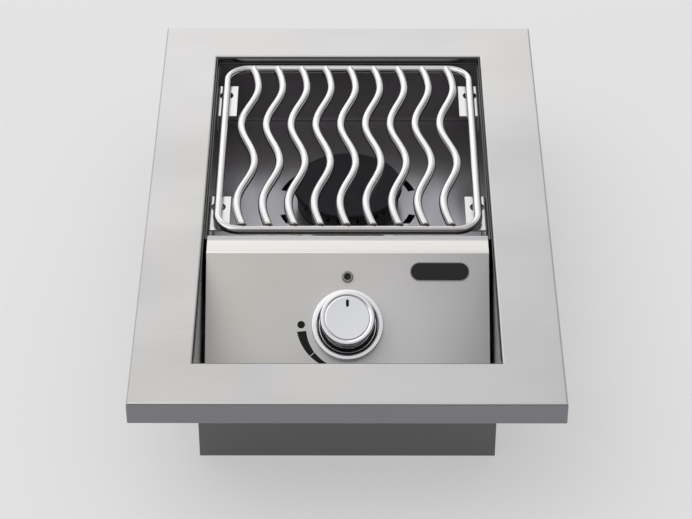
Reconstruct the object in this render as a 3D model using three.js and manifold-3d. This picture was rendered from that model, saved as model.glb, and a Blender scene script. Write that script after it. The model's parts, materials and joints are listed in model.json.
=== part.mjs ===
// Built-in side burner for an outdoor kitchen: a drop-in gas burner with a wave-rod pan grate.
// Millimetres, +X right, +Y towards the rear, +Z up. The base of the box stands on z = 0.
// Inside the assembly, heights are counted from the top face of the trim frame.

import * as THREE from 'three';
import { mergeVertices } from 'three/addons/utils/BufferGeometryUtils.js';
import Module from 'manifold-3d';

const wasm = await Module();
wasm.setup();

// Fits and cutting
const fitGap = 0.3;
const runningGap = 0.4;
const overrun = 3;
const weldTolerance = 1e-4;
const arcSteps = 4;
const slotEndSteps = 2;
const endRoundShare = 0.49;
const roundSides = 24;
const smallSides = 14;
const tinySides = 8;

// Trim frame: the folded border that hangs on the worktop
const trimWidth = 355.6;
const trimDepth = 558.8;
const railWidth = 50.8;
const trimSheet = 1.2;
const trimBend = 2.2;
const lipDepth = 22;
const lipReturn = 9;
const skirtDepth = 12;
const openingHalfWidth = trimWidth / 2 - railWidth;
const openingHalfDepth = trimDepth / 2 - railWidth;

// Burner box: the lower shell inside the trim's skirt
const overallHeight = 128;
const boxSheet = 1;
const boxBend = 2.2;
const boxTopDrop = 1.6;
const frontSetback = 26;
const ledgeDrop = 24;
const boxHalfWidth = openingHalfWidth - fitGap;
const boxInnerHalfWidth = boxHalfWidth - boxSheet;
const boxRearY = openingHalfDepth - fitGap;
const boxFloorZ = -overallHeight + boxSheet;
const lowerFrontY = -openingHalfDepth + frontSetback;
const ventLength = 64;
const ventWidth = 7;
const ventPitch = 17;
const ventRows = 5;
const ventColumnX = boxHalfWidth / 2;

// Control panel: one folded sheet, from the hook over the pan wall down to its foot
const controlDepth = 177.8;
const panelSheet = 1.2;
const panelSideGap = 2.9;
const panelDrop = 3;
const panelKick = 20;
const panelFlangeDepth = 25.4;
const panelBend = 2.6;
const panelHookBend = 3.6;
const panelHookDepth = 9;
const panelFootLength = 15;
const sideFlangeDepth = 11;
const sideFlangeInset = 9;
const knobDownSlope = 65.5;
const buttonUpSlope = 43.1;
const panelHalfWidth = boxInnerHalfWidth - panelSideGap;
const panelRearY = -openingHalfDepth + controlDepth;
const panelBendY = panelRearY - panelFlangeDepth;
const panelFootY = lowerFrontY + boxSheet + runningGap;
const panelSlopeEndZ = -overallHeight + panelKick;
const panelSlope = Math.atan2(-panelDrop - panelSlopeEndZ, panelBendY - panelFootY);

// Burner pan: the drip tray of the well
const panSheet = 1;
const panBend = 2;
const panFloorHeight = 53.5;
const panHalfWidth = boxInnerHalfWidth - fitGap;
const panInnerHalfWidth = panHalfWidth - panSheet;
const panRearY = boxRearY - boxSheet - fitGap;
const panFrontY = panelRearY - panelSheet - fitGap - panSheet;
const panTopZ = -panelDrop - panelHookBend;
const panFloorZ = -overallHeight + panFloorHeight;
const panUndersideZ = panFloorZ - panSheet;
const airSlotRadius = 63;
const airSlotWidth = 6.3;
const airSlotCount = 4;
const airSlotSpan = THREE.MathUtils.degToRad(55.5);

// Grate: nine waved rods between the front and rear of one bent ring
const rodDiameter = 8;
const rodRadius = rodDiameter / 2;
const rodDrop = 9.2;
const grateSideGap = 4.1;
const grateRearGap = 1.6;
const grateFrontGap = 9.6;
const grateCornerRadius = 21;
const rodCount = 9;
const waveAmplitude = 7;
const waveLength = 122;
const waveCount = 1.5;
const waveCrestFromRear = 33;
const waveEndShare = 0.81;
const grateWidth = 2 * (panInnerHalfWidth - grateSideGap - rodRadius);
const grateFrontY = panelRearY + grateFrontGap + rodRadius;
const grateRearY = panRearY - panSheet - grateRearGap - rodRadius;
const grateLength = grateRearY - grateFrontY;
const burnerY = (grateFrontY + grateRearY) / 2;
const rodPitch = grateWidth / (rodCount + 1);
const rodSteps = 20;
const rodSides = 6;
const ringSides = 8;
const pegInset = 39.8;
const pegDiameter = 5.4;
const pegLength = 9;

// Grate brackets: four folded ledges on the pan walls
const bracketSheet = 1.5;
const bracketBend = 2.2;
const bracketWidth = 18.8;
const bracketLength = 50;
const bracketLeg = 17;
const bracketHoleDiameter = 11.5;
const bracketSmallHoleDiameter = 7;
const bracketHoleFromRear = 16;
const bracketSmallHoleFromRear = 32;

// Burner head and cap
const capDiameter = 101.2;
const capRise = 21.5;
const capThickness = 4.6;
const capEdge = 1.1;
const capRingDepth = 4;
const capRingWall = 3.4;
const headDiameter = 95;
const headWall = 5;
const headFloor = 4;
const headThroatDiameter = 26;
const headNeckDiameter = 34;
const headNeckLength = 14;
const portCount = 24;
const portWidth = 2.6;
const portDepth = 6;
const capTopZ = panFloorZ + capRise;
const headTopZ = capTopZ - capThickness - fitGap;
const headBottomZ = panFloorZ + fitGap;
const headFloorZ = headBottomZ + headFloor;

// Mixer tube under the pan, its air shutter and the orifice
const mixerWall = 2;
const mixerFlangeDiameter = 70;
const mixerFlangeSheet = 3;
const mixerSocketDiameter = 41;
const mixerElbowDiameter = 32;
const mixerThroatDiameter = 22;
const mixerMouthGap = 24.4;
const airChamberDiameter = 31;
const airChamberLength = 30;
const airWindowLength = 16;
const airWindowAngle = THREE.MathUtils.degToRad(70);
const shutterSheet = 1.2;
const shutterLength = 22;
const shutterTabHeight = 6;
const shutterTabWidth = 6;
const orificeHoleDiameter = 10;
const mixerZ = (panUndersideZ + boxFloorZ) / 2;
const mixerMouthY = panelRearY + mixerMouthGap;
const mixerReach = burnerY - mixerMouthY;
const mixerThroatShare = 0.6;
const burnerScrewRadius = 28;

// Burner bracket on the box floor
const standSheet = 1.5;
const standWidth = 46;
const standFoot = 22;
const standBend = 2.4;
const standGap = 5;

// Gas valve on the back of the panel, in the panel's own frame
const valveEarSpacing = 34;
const valveEarWidth = 14;
const bonnetPlate = 3;
const bonnetDiameter = 22;
const bonnetLength = 8.5;
const valveBarrelDiameter = 27;
const valveBarrelLength = 36;
const valvePlugDiameter = 17;
const valvePlugLength = 6;
const valveBossDiameter = 15;
const valveBossReach = 24;
const valveBossDepth = 33;
const stemDiameter = 8;
const stemFlat = 1.4;
const stemDepth = 32;
const stemHoleShare = 1.6;
const knobPush = 3;
const thrustWasherDiameter = 18;
const thrustWasherSheet = 2;

// Control knob and its bezel, in the panel's own frame
const bezelDiameter = 61.8;
const bezelHeight = 7.2;
const bezelWall = 4.5;
const bezelFoot = 3.4;
const bezelFootSheet = 1;
const bezelCrownShares = { outside: 1.5, inside: 1.2, depth: 1.5 };
const linerSheet = 1.2;
const linerHeight = 4;
const knobDiameter = 47.2;
const knobSkirtDiameter = 48.4;
const knobWaistDiameter = 43.4;
const knobFaceDiameter = 38.4;
const knobTop = 37;
const knobSkirtZ = 6.3;
const knobWall = 2.2;
const knobDeck = 3.4;
const knobFaceSheet = 1.8;
const knobRecess = 0.5;
const knobHubDiameter = 14;
const knobHeightShares = {
  rimTop: 0.975,
  rim: 0.935,
  rimUnder: 0.87,
  waistTop: 0.74,
  waist: 0.58,
  waistFoot: 0.26,
  flare: 0.14,
  inside: 0.12,
  hub: 0.1,
  skirtTop: 0.08,
  skirt: 0.035,
};

// Push-button igniter above the knob
const igniterRingDiameter = 9.7;
const igniterRingHeight = 2;
const bushingDiameter = 6.8;
const plungerDiameter = 5.2;
const plungerRise = 3.2;
const plungerTravel = 1.5;
const plungerLength = 10;
const plungerDomeShare = 0.7;
const switchWidth = 12;
const switchHeight = 15;

// Spark module and electrode
const moduleWidth = 46;
const moduleLength = 66;
const moduleHeight = 24;
const moduleCorner = 4;
const modulePostDiameter = 5.2;
const moduleSideGap = 22.7;
const moduleFrontGap = 41.6;
const moduleX = -boxInnerHalfWidth + moduleSideGap + moduleWidth / 2;
const moduleY = lowerFrontY + moduleFrontGap + moduleLength / 2;
const ceramicDiameter = 7;
const ceramicRise = 10;
const ceramicTail = 12;
const ceramicCollarDiameter = 11;
const ceramicCollarHeight = 2.2;
const electrodeDiameter = 1.8;
const electrodeRadius = 54;
const electrodeAngle = THREE.MathUtils.degToRad(90);
const electrodeTipGap = 2.4;
const electrodeSteps = 14;
const electrodeSides = 6;
const ceramicTipShare = 0.8;

// Gas line from the rear inlet to the valve
const tubeDiameter = 10;
const tubeBend = 15;
const supplyBendShare = 0.95;
const feedBendShare = 0.9;
const feedTubeDiameter = 6.4;
const supplySteps = 40;
const feedSteps = 30;
const tubeSides = 8;
const nutAcrossFlats = 19;
const nutLength = 14;
const feedNutAcrossFlats = 13;
const feedNutLength = 10;
const inletSideGap = 37.7;
const inletX = boxInnerHalfWidth - inletSideGap;
const inletDiameter = 18;
const inletBore = 10;
const inletReach = 25;
const inletTail = 16;
const inletHexAcrossFlats = 26;
const inletHexLength = 6;

// Screws
const screwShankDiameter = 3.8;
const screwHoleGap = 0.35;
const panelScrewUpSlope = 34;
const panelScrewDownSlope = 40;

// Finishes
const finishes = {
  brushedSteel: { color: 0xd2d0cc, roughness: 0.38, metalness: 1 },
  shellSteel: { color: 0x9a999c, roughness: 0.42, metalness: 1 },
  polishedSteel: { color: 0xb9babd, roughness: 0.16, metalness: 1 },
  rodSteel: { color: 0xe6e5e3, roughness: 0.22, metalness: 1 },
  chrome: { color: 0xe4e5ea, roughness: 0.12, metalness: 1 },
  satinChrome: { color: 0xd6d7dc, roughness: 0.3, metalness: 1 },
  blackEnamel: { color: 0x28282b, roughness: 0.55, metalness: 0 },
  castAluminium: { color: 0x77777a, roughness: 0.6, metalness: 1 },
  blackPlastic: { color: 0x161517, roughness: 0.45, metalness: 0 },
  greyMetal: { color: 0x6d6a69, roughness: 0.45, metalness: 1 },
  brass: { color: 0xb89a55, roughness: 0.35, metalness: 1 },
  ceramic: { color: 0xece8df, roughness: 0.3, metalness: 0 },
};

// Geometry helpers

// A closed body as a solid for joining and cutting, with its faces turned outwards.
function solid(shape) {
  if (shape instanceof wasm.Manifold) return shape;
  const bare = new THREE.BufferGeometry();
  bare.setAttribute('position', shape.getAttribute('position').clone());
  if (shape.index) bare.setIndex(shape.index.clone());
  const merged = mergeVertices(bare, weldTolerance);
  const points = merged.getAttribute('position').array;
  const corners = merged.index.array;
  const faces = [];
  for (let i = 0; i < corners.length; i += 3) {
    const [a, b, c] = [corners[i], corners[i + 1], corners[i + 2]];
    if (a !== b && b !== c && c !== a) faces.push([a, b, c]);
  }
  const inward = signedVolume(points, faces) < 0;
  const triVerts = Uint32Array.from(faces.flatMap(([a, b, c]) => (inward ? [a, c, b] : [a, b, c])));
  const mesh = new wasm.Mesh({ numProp: 3, vertProperties: Float32Array.from(points), triVerts });
  return new wasm.Manifold(mesh);
}

function signedVolume(points, faces) {
  const [a, b, c] = [new THREE.Vector3(), new THREE.Vector3(), new THREE.Vector3()];
  let sum = 0;
  for (const [i, j, k] of faces) {
    a.fromArray(points, 3 * i);
    b.fromArray(points, 3 * j);
    c.fromArray(points, 3 * k);
    sum += a.dot(b.cross(c));
  }
  return sum / 6;
}

function geometryOf(body) {
  const mesh = body.getMesh();
  const geometry = new THREE.BufferGeometry();
  geometry.setAttribute('position', new THREE.BufferAttribute(mesh.vertProperties, mesh.numProp));
  geometry.setIndex(new THREE.BufferAttribute(mesh.triVerts, 1));
  const faceted = geometry.toNonIndexed();
  faceted.computeVertexNormals();
  return faceted;
}

function join(first, ...others) {
  return others.reduce((sum, other) => sum.add(solid(other)), solid(first));
}

function cut(first, ...tools) {
  return tools.reduce((rest, tool) => rest.subtract(solid(tool)), solid(first));
}

// Rounds the corners of an outline given as [a, b, radius] and returns its points.
function rounded(corners, steps = arcSteps) {
  const points = [];
  corners.forEach(([a, b, radius = 0], i) => {
    const corner = new THREE.Vector2(a, b);
    if (radius === 0) {
      points.push(corner);
      return;
    }
    const before = new THREE.Vector2(...corners.at(i - 1)).sub(corner).normalize();
    const after = new THREE.Vector2(...corners[(i + 1) % corners.length]).sub(corner).normalize();
    const half = Math.acos(THREE.MathUtils.clamp(before.dot(after), -1, 1)) / 2;
    const centre = before.clone().add(after).normalize().multiplyScalar(radius / Math.sin(half));
    centre.add(corner);
    const start = corner.clone().addScaledVector(before, radius / Math.tan(half)).sub(centre);
    const turn = Math.PI - 2 * half;
    const sign = Math.sign(after.cross(before));
    for (let step = 0; step <= steps; step += 1) {
      const spoke = start.clone().rotateAround(new THREE.Vector2(), sign * turn * step / steps);
      points.push(spoke.add(centre));
    }
  });
  return points;
}

// The outline of a folded sheet. Corners [a, b, bend] run along one face and the sheet lies
// to the left (side 1) or right (side -1) of them. The bend is the outer radius of each fold.
function folded(corners, sheet, side) {
  const face = [];
  const back = [];
  const at = (i) => new THREE.Vector2(corners[i][0], corners[i][1]);
  const left = (v) => new THREE.Vector2(-v.y, v.x);
  for (let i = 0; i < corners.length; i += 1) {
    const here = at(i);
    const into = i > 0 ? here.clone().sub(at(i - 1)).normalize() : null;
    const out = i < corners.length - 1 ? at(i + 1).sub(here).normalize() : null;
    if (!into || !out) {
      const normal = left(into ?? out).multiplyScalar(side);
      face.push(here);
      back.push(here.clone().addScaledVector(normal, sheet));
      continue;
    }
    const turn = Math.atan2(into.cross(out), into.dot(out));
    const toSheet = Math.sign(turn) === side;
    const faceRadius = toSheet ? corners[i][2] : corners[i][2] - sheet;
    const backRadius = toSheet ? corners[i][2] - sheet : corners[i][2];
    const start = here.clone().addScaledVector(into, -faceRadius * Math.tan(Math.abs(turn) / 2));
    const inwards = left(into).multiplyScalar(Math.sign(turn));
    const centre = start.clone().addScaledVector(inwards, faceRadius);
    for (let step = 0; step <= arcSteps; step += 1) {
      const spoke = inwards.clone().negate().rotateAround(new THREE.Vector2(), turn * step / arcSteps);
      face.push(centre.clone().addScaledVector(spoke, faceRadius));
      back.push(centre.clone().addScaledVector(spoke, backRadius));
    }
  }
  return [...face, ...back.reverse()];
}

// A plate drawn in X and Y, standing up from z = 0.
function plate(points, thickness, holes = []) {
  const shape = points instanceof THREE.Shape ? points : new THREE.Shape(points);
  shape.holes.push(...holes);
  const options = { depth: thickness, bevelEnabled: false, curveSegments: arcSteps };
  return new THREE.ExtrudeGeometry(shape, options);
}

// A section drawn in Y and Z, extruded along X about x = 0.
function acrossX(points, width) {
  const geometry = plate(points, width);
  geometry.translate(0, 0, -width / 2);
  const axes = [new THREE.Vector3(0, 1, 0), new THREE.Vector3(0, 0, 1), new THREE.Vector3(1, 0, 0)];
  return geometry.applyMatrix4(new THREE.Matrix4().makeBasis(...axes));
}

// A section drawn in X and Z, extruded along Y about y = 0.
function acrossY(points, length) {
  const geometry = plate(points, length);
  geometry.translate(0, 0, -length / 2);
  return geometry.rotateX(Math.PI / 2);
}

// A profile of [radius, height] turned about Z, closed on itself or on the axis.
function revolve(profile, sides = roundSides) {
  const closed = profile[0][0] === 0 ? profile : [...profile, profile[0]];
  const points = closed.map(([radius, height]) => new THREE.Vector2(radius, height));
  return new THREE.LatheGeometry(points, sides).rotateX(Math.PI / 2);
}

function cylinder(diameter, fromZ, toZ, sides = smallSides) {
  const geometry = new THREE.CylinderGeometry(diameter / 2, diameter / 2, toZ - fromZ, sides);
  return geometry.rotateX(Math.PI / 2).translate(0, 0, (fromZ + toZ) / 2);
}

function block(sizeX, sizeY, sizeZ) {
  return new THREE.BoxGeometry(sizeX, sizeY, sizeZ);
}

// Sweeps a section of [outward, height] points round a closed flat path, mitred at its corners.
function sweepLoop(path, section) {
  const positions = [];
  const count = path.length;
  const outward = path.map((point, i) => {
    const into = point.clone().sub(path[(i + count - 1) % count]).normalize();
    const out = path[(i + 1) % count].clone().sub(point).normalize();
    const first = new THREE.Vector2(into.y, -into.x);
    const second = new THREE.Vector2(out.y, -out.x);
    return first.clone().add(second).divideScalar(1 + first.dot(second));
  });
  path.forEach((point, i) => {
    for (const { x, y } of section) {
      positions.push(point.x + outward[i].x * x, point.y + outward[i].y * x, y);
    }
  });
  const faces = [];
  const around = section.length;
  for (let i = 0; i < count; i += 1) {
    for (let j = 0; j < around; j += 1) {
      const a = i * around + j;
      const b = i * around + (j + 1) % around;
      const c = ((i + 1) % count) * around + (j + 1) % around;
      const d = ((i + 1) % count) * around + j;
      faces.push(a, b, c, a, c, d);
    }
  }
  const geometry = new THREE.BufferGeometry();
  geometry.setAttribute('position', new THREE.Float32BufferAttribute(positions, 3));
  geometry.setIndex(faces);
  return geometry;
}

function rectangle(minX, maxX, minY, maxY, radius = 0, steps = arcSteps) {
  return rounded([
    [minX, minY, radius],
    [maxX, minY, radius],
    [maxX, maxY, radius],
    [minX, maxY, radius],
  ], steps);
}

function circlePoints(radius, sides) {
  const angles = Array.from({ length: sides }, (_, i) => 2 * Math.PI * (i + 0.5) / sides);
  return angles.map((angle) => new THREE.Vector2(radius * Math.cos(angle), radius * Math.sin(angle)));
}

// A round bar along a curve.
function bar(curve, diameter, steps, sides) {
  const section = new THREE.Shape(circlePoints(diameter / 2, sides));
  return new THREE.ExtrudeGeometry(section, { steps, bevelEnabled: false, extrudePath: curve });
}

// A path of straight runs through the given corners, with a smooth bend at each inner one.
function bentPath(corners, bend) {
  const path = new THREE.CurvePath();
  let from = corners[0];
  for (let i = 1; i < corners.length - 1; i += 1) {
    const into = corners[i].clone().sub(corners[i - 1]).normalize();
    const out = corners[i + 1].clone().sub(corners[i]).normalize();
    const start = corners[i].clone().addScaledVector(into, -bend);
    const end = corners[i].clone().addScaledVector(out, bend);
    path.add(new THREE.LineCurve3(from, start));
    path.add(new THREE.QuadraticBezierCurve3(start, corners[i], end));
    from = end;
  }
  path.add(new THREE.LineCurve3(from, corners.at(-1)));
  return path;
}

// A hexagonal nut about Z with a bore and one chamfered end.
function hexNut(acrossFlats, length, bore) {
  const hexagon = cylinder(2 * acrossFlats / Math.sqrt(3), 0, length, 6);
  const chamfer = acrossFlats / 8;
  const round = revolve([
    [0, -overrun],
    [acrossFlats, -overrun],
    [acrossFlats, length - chamfer],
    [acrossFlats / 2 - chamfer / 2, length + chamfer / 2],
    [0, length + chamfer / 2],
  ], smallSides);
  return cut(solid(hexagon).intersect(solid(round)), cylinder(bore, -overrun, length + overrun));
}

// The knob's axis crosses the panel's face here, and this turns a shape into the panel's frame.
const knobY = panelBendY - knobDownSlope * Math.cos(panelSlope);
const knobZ = -panelDrop - knobDownSlope * Math.sin(panelSlope);
const panelFrame = new THREE.Matrix4().makeRotationX(panelSlope).setPosition(0, knobY, knobZ);

function onPanel(geometry) {
  return geometry.applyMatrix4(panelFrame);
}

// Trim frame

function trimFrame() {
  const section = folded([
    [0, -skirtDepth],
    [0, 0, trimBend],
    [railWidth, 0, trimBend],
    [railWidth, -lipDepth, trimBend],
    [railWidth - lipReturn, -lipDepth],
  ], trimSheet, -1);
  const opening = rectangle(-openingHalfWidth, openingHalfWidth, -openingHalfDepth, openingHalfDepth);
  return sweepLoop(opening, section);
}

// Burner box

function boxProfile(inset, top) {
  const tight = boxBend - boxSheet;
  const outer = inset === 0 ? boxBend : tight;
  const inner = inset === 0 ? tight : boxBend;
  const rear = boxRearY - inset;
  const front = -boxRearY + inset;
  const lower = lowerFrontY + inset;
  return rounded([
    [rear, top],
    [front, top],
    [front, -ledgeDrop + inset, outer],
    [lower, -ledgeDrop + inset, inner],
    [lower, -overallHeight + inset, outer],
    [rear, -overallHeight + inset, outer],
  ]);
}

function ventSlots() {
  const slots = [];
  for (const x of [-ventColumnX, ventColumnX]) {
    for (let row = 0; row < ventRows; row += 1) {
      const y = burnerY + (row - (ventRows - 1) / 2) * ventPitch;
      const ends = [x - ventLength / 2, x + ventLength / 2, y - ventWidth / 2, y + ventWidth / 2];
      const slot = plate(rectangle(...ends, ventWidth * endRoundShare, slotEndSteps), 2 * overrun);
      slots.push(slot.translate(0, 0, -overallHeight - overrun));
    }
  }
  return slots;
}

// The four screws that hold the panel's side flanges, as places in the panel's frame.
function panelScrewPlaces() {
  const depth = -panelSheet - sideFlangeDepth / 2;
  return [-1, 1].flatMap((side) => [
    { side, place: new THREE.Vector3(0, panelScrewUpSlope, depth) },
    { side, place: new THREE.Vector3(0, -panelScrewDownSlope, depth) },
  ]);
}

function panelScrewHoles() {
  const bore = screwShankDiameter + 2 * screwHoleGap;
  return panelScrewPlaces().map(({ side, place }) => {
    const hole = cylinder(bore, -overrun - fitGap - panSheet, overrun, tinySides);
    const at = place.clone().applyMatrix4(panelFrame);
    return hole.rotateY(side * Math.PI / 2).translate(side * boxHalfWidth, at.y, at.z);
  });
}

function burnerBox() {
  const shell = cut(
    acrossX(boxProfile(0, -boxTopDrop), 2 * boxHalfWidth),
    acrossX(boxProfile(boxSheet, overrun), 2 * boxInnerHalfWidth),
  );
  const inlet = cylinder(inletDiameter + 2 * fitGap, -overrun, overrun).rotateX(Math.PI / 2);
  inlet.translate(inletX, boxRearY, mixerZ);
  return cut(shell, inlet, ...ventSlots(), ...panelScrewHoles());
}

// Burner pan

function arcSlot(from, to) {
  const shape = new THREE.Shape();
  shape.absarc(0, 0, airSlotRadius + airSlotWidth / 2, from, to, false);
  shape.absarc(0, 0, airSlotRadius - airSlotWidth / 2, to, from, true);
  const geometry = plate(shape, 2 * overrun);
  return geometry.translate(0, burnerY, panUndersideZ - overrun);
}

function airSlots() {
  return Array.from({ length: airSlotCount }, (_, i) => {
    const middle = 2 * Math.PI * (i + 0.5) / airSlotCount;
    return arcSlot(middle - airSlotSpan / 2, middle + airSlotSpan / 2);
  });
}

const electrodeX = electrodeRadius * Math.cos(electrodeAngle);
const electrodeY = burnerY + electrodeRadius * Math.sin(electrodeAngle);

function burnerScrewHoles(fromZ, toZ) {
  const bore = screwShankDiameter + 2 * screwHoleGap;
  return [-1, 1].map((side) => {
    return cylinder(bore, fromZ, toZ, tinySides).translate(side * burnerScrewRadius, burnerY, 0);
  });
}

function burnerPan() {
  const walls = sweepLoop(
    rectangle(-panHalfWidth, panHalfWidth, panFrontY, panRearY),
    folded([
      [0, panTopZ],
      [0, panUndersideZ, panBend],
      [-2 * panBend, panUndersideZ],
    ], panSheet, -1),
  );
  const inset = 1.5 * panBend;
  const floor = plate(rectangle(
    -panHalfWidth + inset,
    panHalfWidth - inset,
    panFrontY + inset,
    panRearY - inset,
  ), panSheet).translate(0, 0, panUndersideZ);
  const through = [panUndersideZ - overrun, panFloorZ + overrun];
  return cut(
    join(walls, floor),
    cylinder(headNeckDiameter + 2 * runningGap, ...through, roundSides).translate(0, burnerY, 0),
    cylinder(ceramicDiameter + 2 * fitGap, ...through, tinySides).translate(electrodeX, electrodeY, 0),
    ...burnerScrewHoles(...through),
    ...airSlots(),
  );
}

// Control panel

function panelSection() {
  const footZ = boxFloorZ + fitGap;
  return folded([
    [panelRearY, -panelDrop - panelHookDepth],
    [panelRearY, -panelDrop, panelHookBend],
    [panelBendY, -panelDrop, panelBend],
    [panelFootY, panelSlopeEndZ, panelBend],
    [panelFootY, footZ, panelBend],
    [panelFootY + panelFootLength, footZ],
  ], panelSheet, 1);
}

function panelSideFlange(side) {
  const top = knobDownSlope - sideFlangeInset;
  const slopeLength = (panelBendY - panelFootY) / Math.cos(panelSlope);
  const bottom = knobDownSlope - slopeLength + 2 * sideFlangeInset;
  const skin = -panelSheet / 2;
  const edge = -panelSheet - sideFlangeDepth;
  const flange = acrossX(rounded([
    [bottom, skin],
    [top, skin],
    [top - sideFlangeDepth / 2, edge, boxBend],
    [bottom + sideFlangeDepth / 2, edge, boxBend],
  ]), panelSheet);
  return onPanel(flange.translate(side * (panelHalfWidth - panelSheet / 2), 0, 0));
}

function controlPanel() {
  const sheet = join(
    acrossX(panelSection(), 2 * panelHalfWidth),
    panelSideFlange(-1),
    panelSideFlange(1),
  );
  const through = [-panelSheet - overrun, overrun];
  const screwBore = screwShankDiameter + 2 * screwHoleGap;
  const holes = [
    cylinder(stemHoleShare * stemDiameter, ...through),
    cylinder(bushingDiameter + 2 * fitGap, ...through).translate(0, buttonUpSlope, 0),
    ...[-1, 1].map((side) => {
      return cylinder(screwBore, ...through, tinySides).translate(side * valveEarSpacing / 2, 0, 0);
    }),
  ];
  return cut(sheet, ...holes.map(onPanel), ...panelScrewHoles());
}

// Grate brackets

const grateSeatZ = -rodDrop - rodRadius - fitGap;

function grateBracket(side, pegY) {
  const wall = panInnerHalfWidth - fitGap;
  const section = folded([
    [wall - bracketWidth, grateSeatZ],
    [wall, grateSeatZ, bracketBend],
    [wall, grateSeatZ - bracketLeg],
  ], bracketSheet, -1);
  const middle = pegY + bracketHoleFromRear - bracketLength / 2;
  const ledge = acrossY(section, bracketLength).translate(0, middle, 0);
  const through = [grateSeatZ - bracketSheet - overrun, grateSeatZ + overrun];
  const smallHoleY = pegY + bracketHoleFromRear - bracketSmallHoleFromRear;
  const body = cut(
    ledge,
    cylinder(bracketHoleDiameter, ...through).translate(grateWidth / 2, pegY, 0),
    cylinder(bracketSmallHoleDiameter, ...through).translate(grateWidth / 2, smallHoleY, 0),
  );
  return side > 0 ? body : body.mirror([1, 0, 0]);
}

// Grate

const pegRows = [-grateLength / 2 + pegInset, grateLength / 2 - pegInset];

function grateRing(radius) {
  const path = rectangle(
    -grateWidth / 2,
    grateWidth / 2,
    grateFrontY,
    grateRearY,
    grateCornerRadius,
  );
  return sweepLoop(path, circlePoints(radius, ringSides)).translate(0, 0, -rodDrop);
}

function grateFrame() {
  const pegs = pegRows.flatMap((row) => [-1, 1].map((side) => {
    const peg = revolve([
      [0, -rodDrop - rodRadius - pegLength],
      [pegDiameter / 4, -rodDrop - rodRadius - pegLength],
      [pegDiameter / 2, -rodDrop - rodRadius - pegLength + pegDiameter / 4],
      [pegDiameter / 2, -rodDrop],
      [0, -rodDrop],
    ], tinySides);
    return peg.translate(side * grateWidth / 2, burnerY + row, 0);
  }));
  return join(grateRing(rodRadius), ...pegs);
}

// A rod that swings from side to side as it runs from the front of the ring to its rear.
class WaveCurve extends THREE.Curve {
  constructor(middleX) {
    super();
    this.middleX = middleX;
    this.rearY = grateRearY - rodRadius / 2;
    this.frontY = grateFrontY + rodRadius / 2;
  }

  getPoint(t, target = new THREE.Vector3()) {
    const y = THREE.MathUtils.lerp(this.frontY, this.rearY, t);
    const fromCrest = grateRearY - waveCrestFromRear - y;
    const waved = THREE.MathUtils.clamp(fromCrest, 0, waveCount * waveLength);
    const eased = waved + waveEndShare * (fromCrest - waved);
    const swing = waveAmplitude * Math.cos(2 * Math.PI * eased / waveLength);
    return target.set(this.middleX + swing, y, -rodDrop);
  }
}

function grateRod(index) {
  const middleX = (index - (rodCount - 1) / 2) * rodPitch;
  const rod = bar(new WaveCurve(middleX), rodDiameter, rodSteps, rodSides);
  return cut(rod, grateRing(rodRadius + fitGap));
}

// Burner head and cap

function burnerHead() {
  const outer = headDiameter / 2;
  const inner = outer - headWall;
  const throat = headThroatDiameter / 2;
  const neck = headNeckDiameter / 2;
  const neckBottomZ = headBottomZ - headNeckLength;
  const bowl = revolve([
    [throat, neckBottomZ],
    [neck, neckBottomZ],
    [neck, headBottomZ],
    [outer, headBottomZ],
    [outer, headTopZ],
    [inner, headTopZ],
    [inner, headFloorZ],
    [throat + headFloor, headFloorZ],
    [throat, headBottomZ],
  ]);
  const ports = Array.from({ length: portCount }, (_, i) => {
    const port = block(2 * headWall, portWidth, 2 * portDepth);
    port.translate(outer - headWall / 2, 0, headTopZ);
    return port.rotateZ(2 * Math.PI * (i + 0.5) / portCount);
  });
  const blindTop = headFloorZ - headFloor / 3;
  const head = cut(bowl, ...ports).translate([0, burnerY, 0]);
  return cut(head, ...burnerScrewHoles(headBottomZ - overrun, blindTop));
}

function burnerCap() {
  const rim = capDiameter / 2;
  const top = capTopZ;
  const under = top - capThickness;
  const ring = headDiameter / 2 - headWall - runningGap;
  return revolve([
    [0, top],
    [rim - capEdge, top],
    [rim, top - capEdge],
    [rim, under + capEdge],
    [rim - capEdge, under],
    [ring, under],
    [ring, under - capRingDepth],
    [ring - capRingWall, under - capRingDepth],
    [ring - 2 * capRingWall, under + capThickness / 3],
    [0, under + capThickness / 3],
  ]).translate(0, burnerY, 0);
}

// Mixer tube

const socketBottomZ = headBottomZ - headNeckLength - runningGap;

function mixerSkin(wall) {
  const elbow = mixerElbowDiameter / 2 - wall;
  const throat = mixerThroatDiameter / 2 - wall;
  const chamber = airChamberDiameter / 2 - wall;
  const endWall = wall > 0 ? mixerWall : 0;
  const stretch = mixerReach - airChamberLength;
  const run = revolve([
    [0, 0],
    [elbow, 0],
    [throat, stretch * mixerThroatShare],
    [chamber, stretch],
    [chamber, mixerReach - endWall],
    [0, mixerReach - endWall],
  ], smallSides);
  const bend = new THREE.SphereGeometry(elbow, smallSides, smallSides / 2).translate(0, burnerY, mixerZ);
  return join(run.rotateX(Math.PI / 2).translate(0, burnerY, mixerZ), bend);
}

function airWindow(radius, length, middleY, turn) {
  const reach = 2 * radius;
  const half = airWindowAngle / 2;
  const wedge = plate([
    new THREE.Vector2(0, 0),
    new THREE.Vector2(reach * Math.cos(half), -reach * Math.sin(half)),
    new THREE.Vector2(reach * Math.cos(half), reach * Math.sin(half)),
  ], length);
  wedge.rotateZ(turn).translate(0, 0, -length / 2).rotateX(Math.PI / 2);
  return wedge.translate(0, middleY, mixerZ);
}

const shutterMiddleY = mixerMouthY + mixerWall + airChamberLength / 2;

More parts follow.
